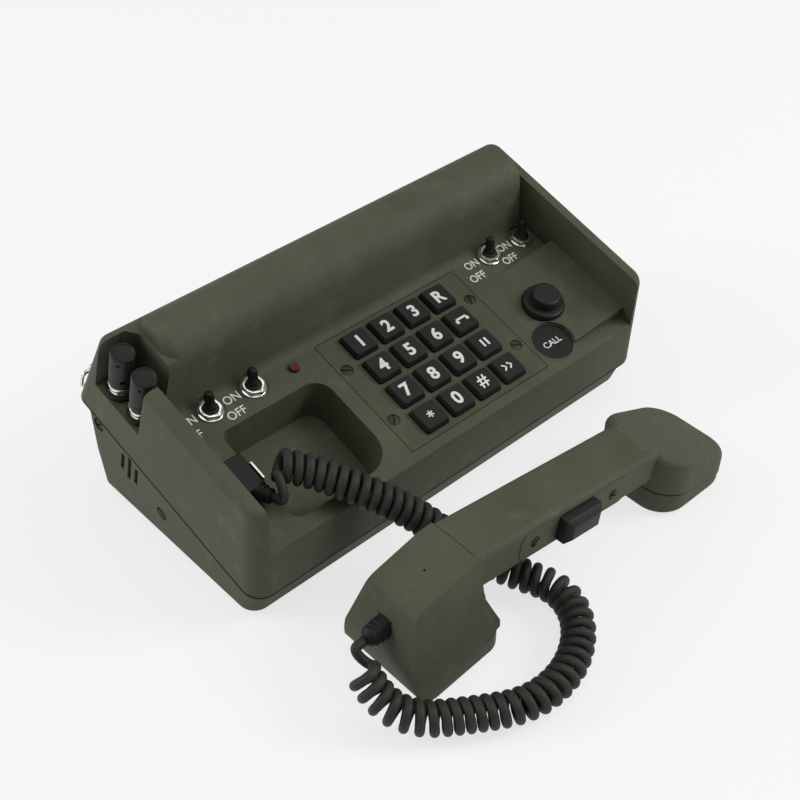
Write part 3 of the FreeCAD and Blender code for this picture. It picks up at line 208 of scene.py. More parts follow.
OLIVE = moulded_olive("olive_case", shade(84, 85, 68), shade(112, 111, 93), shade(72, 74, 57))
OLIVE_PANEL = moulded_olive("olive_panel", shade(82, 82, 65), shade(104, 103, 86), shade(71, 72, 55),
                            0.00004)
SCREW_OLIVE = moulded_olive("olive_screws", shade(62, 60, 46), shade(84, 81, 66), shade(46, 44, 33),
                            0.00003)
KEY_BLACK = plain_black("key_black", shade(30, 30, 27), 0.38, 0.00003, 0.25)
BLACK = plain_black("black_plastic", shade(29, 29, 27), 0.44, 0.00003)
CAP_BLACK = plain_black("post_cap_black", shade(32, 30, 27), 0.42, 0.00004)
RUBBER = plain_black("black_rubber", shade(24, 23, 21), 0.50, 0.00005, 0.3)
CORD_RUBBER = plain_black("cord_rubber", shade(46, 46, 42), 0.50, 0.00004, 0.3)
SCREW_BLACK = plain_black("blackened_screw", shade(30, 29, 25), 0.45, 0.00003)
# Near black for the parting band: painted shade of the seam, darker than the rubber itself
SEAM_SHADE_BLACK = plain_black("painted_seam_shade", shade(14, 14, 12), 0.8, 0.00002, 0.05)
PLATING = plated("plating", (0.86, 0.83, 0.77), 0.14)
RIM = plated("call_rim", (0.20, 0.20, 0.17), 0.35)


def white_print():
    finish = Finish("white_print", Specular_IOR_Level=0.3)
    worn = finish.spread(finish.noise(900.0, 3.0, 0.6), 0.62, 0.8)
    finish.feed("Base Color", finish.blend(worn * 0.5, shade(226, 226, 222), shade(170, 170, 160)))
    finish.feed("Roughness", 0.5 + worn * 0.2)
    return finish.material


def red_lens():
    finish = Finish("red_lens", IOR=1.49, Coat_Weight=0.4, Coat_Roughness=0.12)
    deep = finish.noise(500.0, 2.0)
    finish.feed("Base Color", finish.blend(deep, shade(52, 8, 6), shade(98, 18, 14)))
    finish.feed("Roughness", 0.2 + deep * 0.1)
    return finish.material


def board_green():
    finish = Finish("board_lacquer")
    track = finish.spread(finish.noise(240.0, 1.0), 0.48, 0.52)
    finish.feed("Base Color", finish.blend(track, (0.02, 0.09, 0.04), (0.04, 0.16, 0.07)))
    finish.feed("Roughness", 0.35 + track * 0.1)
    return finish.material


WHITE = white_print()
LENS = red_lens()
BOARD = board_green()

FINISH_OF_SLOT = {
    "olive_plastic": OLIVE, "olive_panel": OLIVE_PANEL, "key_plastic": KEY_BLACK, "black_plastic": BLACK,
    "painted_screw": SCREW_OLIVE, "dark_screw": SCREW_OLIVE, "plated_metal": PLATING, "lever_rubber": RUBBER,
    "lamp_lens": LENS, "call_rim": RIM, "black_rubber": RUBBER, "board": BOARD,
}
for part in frame["record"]["subparts"]:
    node = frame["nodes"][part["node"]]
    node.data.materials.clear()
    node.data.materials.append(FINISH_OF_SLOT[part["material_slot"]])
for name in ("call_button", "hook_button", "hook_collar"):
    frame["nodes"][name].data.materials[0] = KEY_BLACK
frame["nodes"]["post_washers"].data.materials[0] = RUBBER
frame["nodes"]["case_screws"].data.materials[0] = SCREW_BLACK

# The coiled cord

CORD = 0.0042
COIL = 0.0150
COIL_SPACING = 0.00452
AXIS_STEP = 0.0001
BEND_REACH = 40
TURN_STEP = math.radians(12.0)
LEAD_REACH = 1.1
LEAD_POINTS = 16
COIL_START = math.radians(15.0)
LEAD_IN = math.radians(20.0)
LEAD_OUT = math.radians(310.0)
BASE_EXIT = Vector((-0.09653, -0.01116, 0.05344))
BASE_WAY = Vector((0.330, -0.944, -0.001)).normalized()
HANDSET_EXIT = Vector((-0.10500, -0.07760, 0.03000))
HANDSET_WAY = Vector((-0.999, 0.0, -0.050)).normalized()
COIL_ROUTE = [(-0.0880, -0.0036, 0.0610), (-0.0780, -0.0116, 0.0575), (-0.0652, -0.0302, 0.0508),
              (-0.0488, -0.0480, 0.0377), (-0.0356, -0.0652, 0.0186), (-0.0220, -0.0806, 0.0086),
              (-0.0135, -0.0996, 0.0082), (-0.0215, -0.1186, 0.0082), (-0.0420, -0.1316, 0.0082),
              (-0.0660, -0.1326, 0.0082), (-0.0880, -0.1196, 0.0082), (-0.1070, -0.1071, 0.0100),
              (-0.1145, -0.0926, 0.0180), (-0.1130, -0.0826, 0.0280)]


def line_through(name, points):
    """The points of a smooth line that has the given points as its control points."""
    curve = bpy.data.curves.new(name, "CURVE")
    curve.dimensions = "3D"
    curve.resolution_u = 32
    spline = curve.splines.new("NURBS")
    spline.points.add(len(points) - 1)
    for knot, point in zip(spline.points, points):
        knot.co = (*point, 1.0)
    spline.order_u = 3
    spline.use_endpoint_u = True
    holder = bpy.data.objects.new(name, curve)
    bpy.context.scene.collection.objects.link(holder)
    mesh = bpy.data.meshes.new_from_object(holder)
    line = [v.co.copy() for v in mesh.vertices]
    bpy.data.objects.remove(holder)
    bpy.data.curves.remove(curve)
    bpy.data.meshes.remove(mesh)
    return line


def even_steps(line, step):
    """The same line in even steps."""
    out = [line[0]]
    need = step
    for a, b in zip(line, line[1:]):
        run = (b - a).length
        at = 0.0
        while run - at >= need:
            at += need
            out.append(a.lerp(b, at / run))
            need = step
        need -= run - at
    out.append(line[-1])
    return out


def carried_frames(line, side):
    """Forward and side directions along a line, carried without twist."""
    frames = []
    for n in range(len(line)):
        forward = (line[min(n + 1, len(line) - 1)] - line[max(n - 1, 0)]).normalized()
        side = (side - forward * side.dot(forward)).normalized()
        frames.append((forward, side.copy()))
    return frames


def wound_line(axis):
    """The wire's line round the coil's axis, a little more open where the axis bends."""
    radius = (COIL - CORD) / 2.0
    axis = even_steps(axis, AXIS_STEP)
    frames = carried_frames(axis, (axis[1] - axis[0]).cross(Vector((0, 0, 1))))
    phase = 0.0
    phases = []
    for n in range(len(axis)):
        phases.append(phase)
        before, after = max(n - BEND_REACH, 0), min(n + BEND_REACH, len(axis) - 1)
        bend = frames[before][0].angle(frames[after][0], 0.0) / ((after - before) * AXIS_STEP)
        phase += 2 * math.pi * AXIS_STEP * (1.0 - radius * bend) / COIL_SPACING
    wire = []
    last = phases[-1] - LEAD_OUT
    want = LEAD_IN
    for n in range(len(axis) - 1):
        while want <= last and phases[n] <= want < phases[n + 1]:
            share = (want - phases[n]) / (phases[n + 1] - phases[n])
            forward, side = frames[n]
            up = side.cross(forward)
            angle = COIL_START - want
            centre = axis[n].lerp(axis[n + 1], share)
            wire.append(centre + (side * math.cos(angle) + up * math.sin(angle)) * radius)
            want += TURN_STEP
    return wire


def lead(start, way, end, heading):
    """A smooth lead from a boot to the coil, between its two ends."""
    reach = (end - start).length * LEAD_REACH
    points = []
    for n in range(1, LEAD_POINTS):
        t = n / LEAD_POINTS
        points.append(start * (2 * t ** 3 - 3 * t ** 2 + 1) + way * reach * (t ** 3 - 2 * t ** 2 + t)
                      + end * (3 * t ** 2 - 2 * t ** 3) + heading * reach * (t ** 3 - t ** 2))
    return points


def tube(name, line, diameter, sides=12):
    """A round closed tube along a line."""
    frames = carried_frames(line, Vector((0.3, 0.2, 0.9)))
    verts = []
    faces = []
    for point, (forward, side) in zip(line, frames):
        up = forward.cross(side)
        for k in range(sides):
            a = 2 * math.pi * k / sides
            verts.append(point + (side * math.cos(a) + up * math.sin(a)) * diameter / 2.0)
    for n in range(len(line) - 1):
        for k in range(sides):
            a, b = n * sides + k, n * sides + (k + 1) % sides
            faces.append((a, b, b + sides, a + sides))
    faces.append(tuple(reversed(range(sides))))
    faces.append(tuple(range(len(verts) - sides, len(verts))))
    mesh = bpy.data.meshes.new(name)
    mesh.from_pydata(verts, [], faces)
    mesh.shade_smooth()
    piece = bpy.data.objects.new(name, mesh)
    bpy.context.scene.collection.objects.link(piece)
    return piece


def make_cord():
    wire = wound_line(line_through("coil_axis", COIL_ROUTE))
    start = BASE_EXIT + BASE_WAY * CORD
    end = HANDSET_EXIT + HANDSET_WAY * CORD
    opening = lead(start, BASE_WAY, wire[0], (wire[1] - wire[0]).normalized())
    closing = lead(wire[-1], (wire[-1] - wire[-2]).normalized(), end, -HANDSET_WAY)
    line = [BASE_EXIT, start] + opening + wire + closing + [end, HANDSET_EXIT]
    length = sum((b - a).length for a, b in zip(line, line[1:]))
    piece = tube("coiled_cord", line, CORD)
    piece.data.materials.append(CORD_RUBBER)
    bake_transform(piece)
    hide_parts("cord")
    print("cord line", round(length, 4))


make_cord()

# Pieces are modelled at their place on the object and then left there

def start_fresh():
    """Leaves edit mode and lets go of everything."""
    if bpy.context.object and bpy.context.object.mode != "OBJECT":
        bpy.ops.object.mode_set(mode="OBJECT")
    bpy.ops.object.select_all(action="DESELECT")


def pick(*pieces):
    """Selects some pieces and nothing else, the first as the active one."""
    start_fresh()
    for piece in pieces:
        piece.select_set(True)
    bpy.context.view_layer.objects.active = pieces[0]


def join(pieces):
    pick(*pieces)
    bpy.ops.object.join()
    return bpy.context.object


def span_of(points):
    """The lowest and the highest corner of a box round some points."""
    low = Vector(min(p[i] for p in points) for i in range(3))
    high = Vector(max(p[i] for p in points) for i in range(3))
    return low, high


def settle(piece, place, material, body, name=None):
    """Puts a finished piece in its place, gives it its finish and lets it ride on its body."""
    bpy.context.view_layer.update()
    piece.data.transform(place @ piece.matrix_world)
    piece.matrix_world = Matrix.Identity(4)
    piece.data.update()
    if name:
        piece.name = name
    if material:
        piece.data.materials.clear()
        piece.data.materials.append(material)
    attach(piece, body)
    return piece


def top_of(node):
    """The middle of a node's top face, along the deck and square to it."""
    turn_back = DECK_PLACE.inverted()
    points = [turn_back @ v.co for v in frame["nodes"][node].data.vertices]
    top = max(p.z for p in points)
    low, high = span_of([p for p in points if p.z > top - TOP_FACE])
    return Vector(((low.x + high.x) / 2, (low.y + high.y) / 2, top))


PRINT = 0.00005
PRINT_LIFT = 0.00002
TOP_FACE = 0.0001
CAPITAL_SHARE = 0.72


def printed_at(middle):
    """The place of flat print on a face, from the middle of that face."""
    return DECK_PLACE @ Matrix.Translation((middle.x, middle.y, middle.z + PRINT / 2 + PRINT_LIFT))


def lettering(name, text, height, middle, body, weight, width=1.0):
    """Printed characters on the deck or a key, centred on a place."""
    start_fresh()
    bpy.ops.object.text_add(location=(0, 0, 0))
    piece = bpy.context.object
    piece.data.body = text
    piece.data.align_x = "CENTER"
    piece.data.align_y = "CENTER"
    piece.data.size = height / CAPITAL_SHARE
    piece.data.offset = weight * height
    piece.data.extrude = PRINT / 2
    piece.data.resolution_u = 4
    bpy.ops.object.convert(target="MESH")
    piece = bpy.context.object
    low, high = span_of([v.co for v in piece.data.vertices])
    centre = (low + high) / 2
    piece.data.transform(Matrix.Diagonal((width, 1, 1, 1)) @ Matrix.Translation((-centre.x, -centre.y, 0)))
    return settle(piece, printed_at(middle), WHITE, body, name)


def sign(name, strokes, middle, body):
    """A printed sign made of flat strokes, in millimetres: (x, y, length, width, turn in degrees)."""
    start_fresh()
    bars = []
    for x, y, length, width, turn in strokes:
        bpy.ops.mesh.primitive_cube_add(size=1, location=(0, 0, 0))
        bar = bpy.context.object
        bar.data.transform(Matrix.Translation((x * MM, y * MM, 0))
                           @ Matrix.Rotation(math.radians(turn), 4, "Z")
                           @ Matrix.Diagonal((length * MM, width * MM, PRINT, 1)))
        bars.append(bar)
    return settle(join(bars), printed_at(middle), WHITE, body, name)


DIGIT = 0.0066
BOLD, THIN, FINE = 0.045, 0.02, 0.01
SIGNS = {
    "release": [(0, 0.6, 6, 1.1, 0), (-3.0, -0.7, 1.6, 1.9, 0), (3.0, -0.7, 1.6, 1.9, 0)],
    "pause": [(-1.3, 0, 1.1, 4.4, 0), (1.3, 0, 1.1, 4.4, 0)],
    "redial": [(-2.2, 0.8, 2.7, 0.8, -45), (-2.2, -0.8, 2.7, 0.8, 45),
               (1.0, 0.8, 2.7, 0.8, -45), (1.0, -0.8, 2.7, 0.8, 45)],
}
for key in "0123456789":
    lettering("print_" + key, key, DIGIT, top_of("key_" + key), "key_" + key, BOLD)
lettering("print_recall", "R", DIGIT, top_of("key_recall"), "key_recall", BOLD)
lettering("print_hash", "#", DIGIT, top_of("key_hash"), "key_hash", THIN)
lettering("print_star", "*", DIGIT * 0.85, top_of("key_star"), "key_star", THIN)
for key, strokes in SIGNS.items():
    sign("print_" + key, strokes, top_of("key_" + key), "key_" + key)

TOGGLES = (0.0314, 0.0546, 0.2010, 0.2234)
TOGGLE_BACK = 0.0762
LEGENDS = (("ON", -0.0116, 0.0768), ("OFF", -0.0142, 0.0693))
LEGEND, LEGEND_WIDTH = 0.0044, 0.9
CALL_LEGEND = 0.0034
for n, x in enumerate(TOGGLES, 1):
    for word, across, back in LEGENDS:
        spot = Vector((x - HALF_CASE + across, back, DECK))
        lettering("legend_%d_%s" % (n, word.lower()), word, LEGEND, spot, "case", FINE, LEGEND_WIDTH)
lettering("legend_call", "CALL", CALL_LEGEND, top_of("call_button"), "call_button", FINE)

# Small metal and rubber parts, turned or cut

def turned(rings, sides=48):
    """A turned piece from rings of a radius at a height, closed at both ends, in millimetres."""
    start_fresh()
    bpy.ops.mesh.primitive_circle_add(vertices=sides, radius=rings[0][0] * MM, fill_type="NGON")
    piece = bpy.context.object
    bpy.ops.object.mode_set(mode="EDIT")
    bpy.ops.mesh.select_all(action="SELECT")
    bpy.ops.transform.translate(value=(0, 0, rings[0][1] * MM))
    for (r0, z0), (r1, z1) in zip(rings, rings[1:]):
        bpy.ops.mesh.extrude_region_move(TRANSFORM_OT_translate={"value": (0, 0, (z1 - z0) * MM)})
        if r1 != r0:
            bpy.ops.transform.resize(value=(r1 / r0, r1 / r0, 1))
    bpy.ops.mesh.select_all(action="SELECT")
    bpy.ops.mesh.normals_make_consistent(inside=False)
    bpy.ops.object.mode_set(mode="OBJECT")
    return piece


def block(x0, x1, y0, y1, z0, z1):
    """A box between two corners, in metres."""
    start_fresh()
    bpy.ops.mesh.primitive_cube_add(size=1)
    piece = bpy.context.object
    piece.data.transform(Matrix.Translation(((x0 + x1) / 2, (y0 + y1) / 2, (z0 + z1) / 2))
                         @ Matrix.Diagonal((x1 - x0, y1 - y0, z1 - z0, 1)))
    return piece


def finish_with(piece, kind, **settings):
    """Adds a modifier with its settings and applies it."""
    pick(piece)
    step = piece.modifiers.new(kind, kind)
    for key, value in settings.items():
        setattr(step, key, value)
    bpy.ops.object.modifier_apply(modifier=step.name)
    return piece


def cut(piece, tool, operation="DIFFERENCE"):
    finish_with(piece, "BOOLEAN", operation=operation, object=tool, solver="EXACT")
    bpy.data.objects.remove(tool)
    return piece


def soften(piece, width, segments=2, angle=30):
    finish_with(piece, "BEVEL", width=width, segments=segments, limit_method="ANGLE",
                angle_limit=math.radians(angle), harden_normals=False)
    return piece


def smooth(piece, angle=40):
    pick(piece)
    bpy.ops.object.shade_smooth_by_angle(angle=math.radians(angle))
    return piece


def deck_place(x, y, z):
    return DECK_PLACE @ Matrix.Translation((x - HALF_CASE, y, z))


SLOT_HALF, SLOT_DEPTH = 0.45, 0.7
SCREW_EDGE, SCREW_EDGE_DROP = 0.3, 0.25


def slotted_screw(diameter, height, turn):
    """A screw's head in millimetres, its slot turned by an angle."""
    radius = diameter / 2
    screw = turned([(radius, 0), (radius, height - SCREW_EDGE_DROP), (radius - SCREW_EDGE, height)], 40)
    slot = block(-diameter * MM, diameter * MM, -SLOT_HALF * MM, SLOT_HALF * MM,
                 (height - SLOT_DEPTH) * MM, (height + 1) * MM)
    slot.data.transform(Matrix.Rotation(math.radians(turn), 4, "Z"))
    return smooth(cut(screw, slot))


def set_screws(places, diameter, height, material, body, name):
    """Slotted screws as one piece, from the place of each and its slot's turn."""
    screws = []
    for place, turn in places:
        screw = slotted_screw(diameter, height, turn)
        screw.data.transform(place)
        screws.append(screw)
    return settle(join(screws), Matrix.Identity(4), material, body, name)


# Radius and height of each ring, in millimetres
NUT = [(5.66, 0), (5.66, 2.4)]
NUT_CHAMFER = [(6.6, -0.9), (6.6, 1.1), (4.9, 2.45)]
NUT_BORE = [(3.6, -1), (3.6, 4)]
NUT_WASHER = [(5.7, -0.7), (5.7, -0.1), (5.5, 0)]
SKIRT = [(3.3, -0.7), (3.5, 2.2), (3.45, 2.6), (3.0, 3.0), (2.2, 3.2)]
SLEEVE = [(1.2, -1.6), (2.0, -0.6), (2.9, 0.4), (3.05, 1.2), (2.9, 2.3), (2.35, 3.4), (2.05, 4.4),
          (1.95, 7.6), (2.05, 8.0), (1.95, 8.7), (1.5, 9.2), (0.7, 9.4)]
RIB = [(0.26, 1.0), (0.30, 1.6), (0.30, 7.4), (0.2, 7.8)]
KNOB = [(4.9, 7.6), (5.3, 7.9), (5.3, 11.2), (5.15, 11.4), (5.15, 11.8), (5.45, 12.1), (5.45, 26.2),
        (5.3, 26.9), (4.95, 27.2), (4.6, 27.15), (4.2, 26.7), (1.0, 26.6)]
KNOB_BORE = [(3.4, 0), (3.4, 24)]
KNOB_DIMPLE = [(0.2, -0.8), (0.9, 0), (0.9, 2)]
KNOB_HOLE = [(1.3, 0), (1.3, 9)]
COLLAR = [(5.4, 5.1), (5.45, 5.2), (5.45, 7.4), (5.3, 7.6)]
COLLAR_BORE = [(5.25, 4), (5.25, 7)]
BOOT = [(4.9, -6), (5.0, 3.3), (4.75, 3.6), (4.75, 4.3), (4.95, 4.6), (4.95, 5.6), (4.5, 5.9),
        (4.45, 6.6), (4.65, 6.9), (4.65, 7.8), (4.1, 8.3), (3.4, 9.6), (2.8, 10.0)]
PINHOLE = [(0.55, -3), (0.55, 3)]

NUT_TURN = math.radians(10)
NUT_SEAT = DECK + 0.4 * MM
LEVER_SEAT = DECK + 1.6 * MM
LEVER_LEAN = math.radians(-19.0)
RIBS = 10
RIB_REACH = 2.0


def hex_nut():
    """A plated nut with a chamfered top, on a thin washer."""
    nut = turned(NUT, 6)
    nut.data.transform(Matrix.Rotation(NUT_TURN, 4, "Z"))
    nut = cut(nut, turned(NUT_CHAMFER, 64), "INTERSECT")
    nut = soften(cut(nut, turned(NUT_BORE, 48)), 0.12 * MM, 2, 25)
    return smooth(join([nut, turned(NUT_WASHER, 64)]), 35)


nuts = []
skirts = []
for x in TOGGLES:
    nut = hex_nut()
    nut.data.transform(deck_place(x, TOGGLE_BACK, NUT_SEAT))
    nuts.append(nut)
    skirt = turned(SKIRT, 48)
    skirt.data.transform(deck_place(x, TOGGLE_BACK, NUT_SEAT))
    skirts.append(skirt)
nuts = settle(join(nuts), Matrix.Identity(4), PLATING, "case", "switch_nuts")
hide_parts("toggle_nuts")
settle(smooth(join(skirts)), Matrix.Identity(4), RUBBER, "case", "switch_skirts")

for n, x in enumerate(TOGGLES, 1):
    sleeve = turned(SLEEVE, 32)
    ribs = []
    for k in range(RIBS):
        rib = turned(RIB, 8)
        rib.data.transform(Matrix.Rotation(math.radians(360 / RIBS * k), 4, "Z")
                           @ Matrix.Translation((RIB_REACH * MM, 0, 0)))
        ribs.append(rib)
    lever = smooth(join([sleeve] + ribs), 60)
    place = deck_place(x, TOGGLE_BACK, LEVER_SEAT) @ Matrix.Rotation(LEVER_LEAN, 4, "X")
    lever = settle(lever, place, RUBBER, "toggle_lever_%d" % n, "ribbed_lever_%d" % n)
    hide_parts("toggle_lever_%d" % n)

# The line posts: a black knob with two dimples and a cross hole, over a plated collar

POST_X = 0.0076
POSTS_Y = (0.0928, 0.1080)
POST_FLOOR = 0.020
DIMPLE_TURNS = (-143, -93)
DIMPLE_PLACE = (5.25 * MM, 0, 24.0 * MM)
HOLE_TURN = -118
HOLE_HEIGHT = 12.6 * MM
LYING = Matrix.Rotation(math.radians(90), 4, "Y")
for n, y in enumerate(POSTS_Y, 1):
    cap = cut(turned(KNOB, 64), turned(KNOB_BORE, 32))
    for turn in DIMPLE_TURNS:
        dimple = turned(KNOB_DIMPLE, 16)
        dimple.data.transform(Matrix.Rotation(math.radians(turn), 4, "Z")
                              @ Matrix.Translation(DIMPLE_PLACE) @ LYING)
        cut(cap, dimple)
    hole = turned(KNOB_HOLE, 24)
    hole.data.transform(Matrix.Translation((0, 0, HOLE_HEIGHT))
                        @ Matrix.Rotation(math.radians(HOLE_TURN), 4, "Z") @ LYING)
    cap = smooth(cut(cap, hole), 35)
    place = deck_place(POST_X, y, POST_FLOOR)
    settle(cap, place, CAP_BLACK, "post_cap_%d" % n, "post_knob_%d" % n)
    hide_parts("post_cap_%d" % n)
    collar = smooth(cut(turned(COLLAR, 64), turned(COLLAR_BORE, 64)), 30)
    settle(collar, place, PLATING, "post_cap_%d" % n, "post_collar_%d" % n)

# Screws of the keypad's panel and of the case's sides

PANEL_SCREWS = ((0.0957, 0.0284, 50), (0.0957, 0.0608, -30), (0.1733, 0.0284, -20), (0.1733, 0.0608, 70))
PANEL_SCREW_SEAT = DECK - 1.15 * MM
SIDE_SCREWS = ((0.04208, 0.01713, 35), (0.08519, 0.04093, -50))
SIDE_SCREW_X = 0.1170
places = [(deck_place(x, y, PANEL_SCREW_SEAT), turn) for x, y, turn in PANEL_SCREWS]
screws = set_screws(places, 5.8, 1.0, SCREW_OLIVE, "case", "panel_screws")
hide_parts("keypad_panel_screws")

places = [(Matrix.Translation((side * SIDE_SCREW_X, y, z))
           @ Matrix.Rotation(side * math.radians(90), 4, "Y"), turn)
          for side in (-1, 1) for y, z, turn in SIDE_SCREWS]
screws = set_screws(places, 6.0, 0.95, SCREW_BLACK, "case", "side_screws")
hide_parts("case_screws")

# The rubber band in the parting line comes out to the case's edge; it is grown out there and coloured near
# black, darker than the rubber, as painted shade of the seam between the case halves

def copy_of(node, name):
    """A copy of a node's mesh with its corners merged."""
    piece = bpy.data.objects.new(name, frame["nodes"][node].data.copy())
    bpy.context.scene.collection.objects.link(piece)
    pick(piece)
    if piece.data.has_custom_normals:
        bpy.ops.mesh.customdata_custom_splitnormals_clear()
    bpy.ops.object.mode_set(mode="EDIT")
    bpy.ops.mesh.select_all(action="SELECT")
    bpy.ops.mesh.remove_doubles(threshold=0.000002)
    bpy.ops.object.mode_set(mode="OBJECT")
    return piece


BAND_MIDDLE = DECK_PLACE @ Vector((0, 0.06475, -0.0004))
BAND_GROWTH = Matrix.Diagonal((1.0087, 1.0163, 1.4, 1))
band = copy_of("case_gasket", "parting_band_painted_shade")
band.data.transform(DECK_TURN @ BAND_GROWTH @ DECK_TURN.inverted() @ Matrix.Translation(-BAND_MIDDLE))
settle(band, Matrix.Translation(BAND_MIDDLE), SEAM_SHADE_BLACK, "case")
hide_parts("case_gasket")

# The mouth block: its top slopes to a flat nose, its sides lean in, it steps in
# under the handle, and a seam parts it from the handle

def wedge(points, y0, y1):
    """A prism along Y from corners in X and Z."""
    start_fresh()
    bpy.ops.mesh.primitive_circle_add(vertices=len(points), radius=1, fill_type="NGON")
    piece = bpy.context.object
    for corner, (x, z) in zip(piece.data.vertices, points):
        corner.co = (x, y0, z)
    bpy.ops.object.mode_set(mode="EDIT")
    bpy.ops.mesh.select_all(action="SELECT")
    bpy.ops.mesh.extrude_region_move(TRANSFORM_OT_translate={"value": (0, y1 - y0, 0)})
    bpy.ops.mesh.select_all(action="SELECT")
    bpy.ops.mesh.normals_make_consistent(inside=False)
    bpy.ops.object.mode_set(mode="OBJECT")
    return piece


HANDLE_Y = -0.0776
HANDLE_HALF = 0.0141
ACROSS_MOUTH = (-0.13, -0.03)

# Its outline from the side, as X and Z
TOP_BACK = (-0.0569, 0.05238)
TOP_FRONT = (-0.08718, 0.04561)
TOP_LEAN, NOSE_LEAN = math.radians(12.66), math.radians(71.2)
NOSE_ROUND = 0.0070
ROUND_STEPS = 8
BELOW_NOSE = [(-0.0990, 0.0215), (-0.0978, 0.0090), (-0.0930, -0.0003), (-0.0930, -0.0030)]
WELL_OUTSIDE = [(-0.1400, -0.0030), (-0.1400, 0.0750), (-0.0569, 0.0750)]
UNDER_HANDLE = [(-0.0500, 0.0156), (-0.0400, 0.0156), (-0.0400, 0.0360), (-0.05698, 0.0360),
                (-0.05698, 0.0324), (-0.0540, 0.0250)]

FLANK_X, SEAM_X, SEAM_Z = -0.0570, -0.05715, 0.05235
SEAM_INSET = 0.00045
SLAB = 0.03
PINHOLE_PLACE = (-0.0746, -0.0785, 0.0484)
BOOT_FOOT = (-0.0950, HANDLE_Y, 0.0305)


def leaning_slab(point, normal, half_x, half_z):
    """A thick slab whose face goes through a point and looks back along the normal."""
    slab = block(-half_x, half_x, 0, SLAB, -half_z, half_z)
    across = Vector(normal).normalized()
    along = (Vector((1, 0, 0)) - across * across.x).normalized()
    turn = Matrix((along, across, along.cross(across))).transposed().to_4x4()
    slab.data.transform(Matrix.Translation(point) @ turn)
    return slab


def beyond_the_nose():
    """What lies outside the block's sloping top and flat nose, which meet in a round."""
    middle_x = TOP_FRONT[0] + NOSE_ROUND * math.sin(TOP_LEAN)
    middle_z = TOP_FRONT[1] - NOSE_ROUND * math.cos(TOP_LEAN)
    profile = [TOP_BACK]
    for n in range(ROUND_STEPS + 1):
        lean = TOP_LEAN + (NOSE_LEAN - TOP_LEAN) * n / ROUND_STEPS
        profile.append((middle_x - NOSE_ROUND * math.sin(lean), middle_z + NOSE_ROUND * math.cos(lean)))
    return wedge(profile + BELOW_NOSE + WELL_OUTSIDE, *ACROSS_MOUTH)


mouth = copy_of("mouth_block", "mouth_shell")
mouth = cut(mouth, wedge(UNDER_HANDLE, *ACROSS_MOUTH))
mouth = cut(mouth, beyond_the_nose())
for side in (-1, 1):
    flank = (FLANK_X, HANDLE_Y + side * HANDLE_HALF, SEAM_Z)
    mouth = cut(mouth, leaning_slab(flank, (-0.0635, side * 0.969, 0.239), 0.09, 0.09))
    seam = (SEAM_X, HANDLE_Y + side * (HANDLE_HALF - SEAM_INSET), SEAM_Z)
    mouth = cut(mouth, leaning_slab(seam, (0, side * 0.977, 0.212), 0.0002, 0.018))
mouth = cut(mouth, block(-0.05735, -0.05695, HANDLE_Y - 0.03, HANDLE_Y + 0.03, 0.0518, 0.0530))
pinhole = turned(PINHOLE, 20)
pinhole.data.transform(Matrix.Translation(PINHOLE_PLACE))
mouth = smooth(cut(mouth, pinhole), 30)
settle(mouth, Matrix.Identity(4), OLIVE, "handset")
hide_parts("mouth_block")

boot = smooth(turned(BOOT, 48), 35)
boot_turn = HANDSET_WAY.to_track_quat("Z", "Y").to_matrix().to_4x4()
settle(boot, Matrix.Translation(BOOT_FOOT) @ boot_turn, RUBBER, "handset", "boot_sleeve")
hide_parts("handset_boot")

# The ear piece's cap, with its seam open as the real one's is

EAR_FROM, EAR_TO = 0.0540, 0.1036
EAR_SEAM = (0.0140, 0.0047)
SEAM_REACH = 0.00003
SEAM_DROP = 0.0006
ear = copy_of("ear_cap", "ear_cap_shell")
for corner in ear.data.vertices:
    seam = EAR_SEAM[0] + (EAR_SEAM[1] - EAR_SEAM[0]) * (corner.co.x - EAR_FROM) / (EAR_TO - EAR_FROM)
    if abs(corner.co.z - seam) < SEAM_REACH:
        corner.co.z -= SEAM_DROP
settle(smooth(ear, 30), Matrix.Identity(4), OLIVE, "handset")
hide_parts("ear_cap")

# The handle's button and the screws of its plate

PTT_PLACE = (0.0010, -0.0911, 0.03494)
HANDLE_LEAN = Matrix.Rotation(math.atan(0.126), 4, "Y")
PLATE_SCREWS = ((-0.025, 40), (0.025, -25))
BUTTON_X, BUTTON_Z = 0.0110, 0.0062
BUTTON_FACE, BUTTON_FOOT = -0.0070, 0.0019
CHAMFER, CHAMFER_FOOT = 0.0026, -0.0046
NEAR = 0.0001


def on_handle(x, y, z):
    """A place on the talk plate, along the leaning handle."""
    return Matrix.Translation(PTT_PLACE) @ HANDLE_LEAN @ Matrix.Translation((x, y, z))


places = [(on_handle(x, 0.0002, 0) @ Matrix.Rotation(math.radians(90), 4, "X"), turn)
          for x, turn in PLATE_SCREWS]
screws = set_screws(places, 5.0, 0.95, SCREW_BLACK, "handset", "plate_screws")
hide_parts("ptt_screws")

button = block(-BUTTON_X, BUTTON_X, BUTTON_FACE, BUTTON_FOOT, -BUTTON_Z, BUTTON_Z)
pick(button)
bpy.ops.object.mode_set(mode="EDIT")
bpy.ops.mesh.select_mode(type="FACE")
bpy.ops.mesh.select_all(action="DESELECT")
bpy.ops.object.mode_set(mode="OBJECT")
for face in button.data.polygons:
    face.select = face.normal.y < -0.9
bpy.ops.object.mode_set(mode="EDIT")
bpy.ops.mesh.inset(thickness=CHAMFER, depth=0)
bpy.ops.mesh.select_mode(type="VERT")
bpy.ops.object.mode_set(mode="OBJECT")
for corner in button.data.vertices:
    outer = abs(corner.co.x) > BUTTON_X - NEAR or abs(corner.co.z) > BUTTON_Z - NEAR
    if outer and corner.co.y < BUTTON_FACE + NEAR:
        corner.co.y = CHAMFER_FOOT
button = smooth(soften(button, 0.0003, 2, 20), 30)
settle(button, on_handle(0, 0, 0), BLACK, "ptt_button", "talk_button")
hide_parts("ptt_button")

# Floor and light

FLOOR_DROP = -0.0006
BACKDROP = 0.72
FILL = 0.25


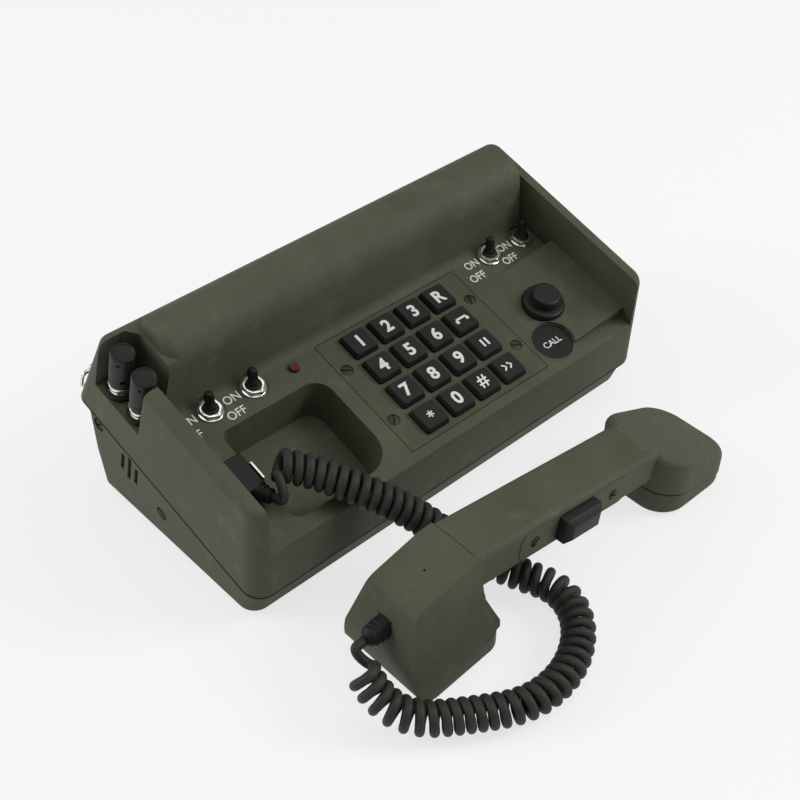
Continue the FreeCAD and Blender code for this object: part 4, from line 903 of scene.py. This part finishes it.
def set_stage():
    start_fresh()
    bpy.ops.mesh.primitive_plane_add(size=6, location=(0, 0, FLOOR_DROP))
    floor = bpy.context.object
    floor.name = "floor"
    finish = Finish("floor", Roughness=0.9, Specular_IOR_Level=0.1)
    finish.shader.inputs["Base Color"].default_value = (0.86, 0.86, 0.86, 1)
    glow = finish.add("ShaderNodeEmission", {}, {"Color": (1, 1, 1, 1), "Strength": 1.0})
    seen = finish.add("ShaderNodeLightPath", out="Is Camera Ray")
    mirrored = finish.add("ShaderNodeLightPath", out="Is Glossy Ray")
    mixed = finish.add("ShaderNodeMixShader", {}, {0: (seen + mirrored) * BACKDROP})
    node = mixed.socket.node
    finish.tree.links.new(finish.shader.outputs[0], node.inputs[1])
    finish.tree.links.new(glow.socket, node.inputs[2])
    finish.tree.links.new(node.outputs[0], finish.tree.nodes["Material Output"].inputs["Surface"])
    floor.data.materials.append(finish.material)
    world = bpy.data.worlds.new("studio")
    world.use_nodes = True
    background = world.node_tree.nodes["Background"]
    background.inputs["Color"].default_value = (1, 1, 1, 1)
    nodes = world.node_tree.nodes
    seen = nodes.new("ShaderNodeLightPath")
    strength = nodes.new("ShaderNodeMath")
    strength.operation = "MULTIPLY_ADD"
    strength.inputs[1].default_value = BACKDROP
    strength.inputs[2].default_value = FILL
    world.node_tree.links.new(seen.outputs["Is Camera Ray"], strength.inputs[0])
    world.node_tree.links.new(strength.outputs[0], background.inputs["Strength"])
    bpy.context.scene.world = world


def soft_lamp(name, place, aim, size, power):
    lamp = bpy.data.lights.new(name, "AREA")
    lamp.size = size
    lamp.energy = power
    holder = bpy.data.objects.new(name, lamp)
    bpy.context.scene.collection.objects.link(holder)
    way = (Vector(aim) - Vector(place)).normalized()
    holder.matrix_world = Matrix.Translation(place) @ way.to_track_quat("-Z", "Y").to_matrix().to_4x4()


set_stage()
soft_lamp("lamp_back", (-1.1, 1.0, 0.8), (0, 0, 0.03), 0.8, 12)
soft_lamp("lamp_front", (1.0, -0.85, 1.05), (0, 0, 0.03), 0.7, 13)
soft_lamp("lamp_over", (0, 0, 1.5), (0, 0, 0), 1.2, 5)

bpy.context.scene.view_settings.view_transform = "Standard"
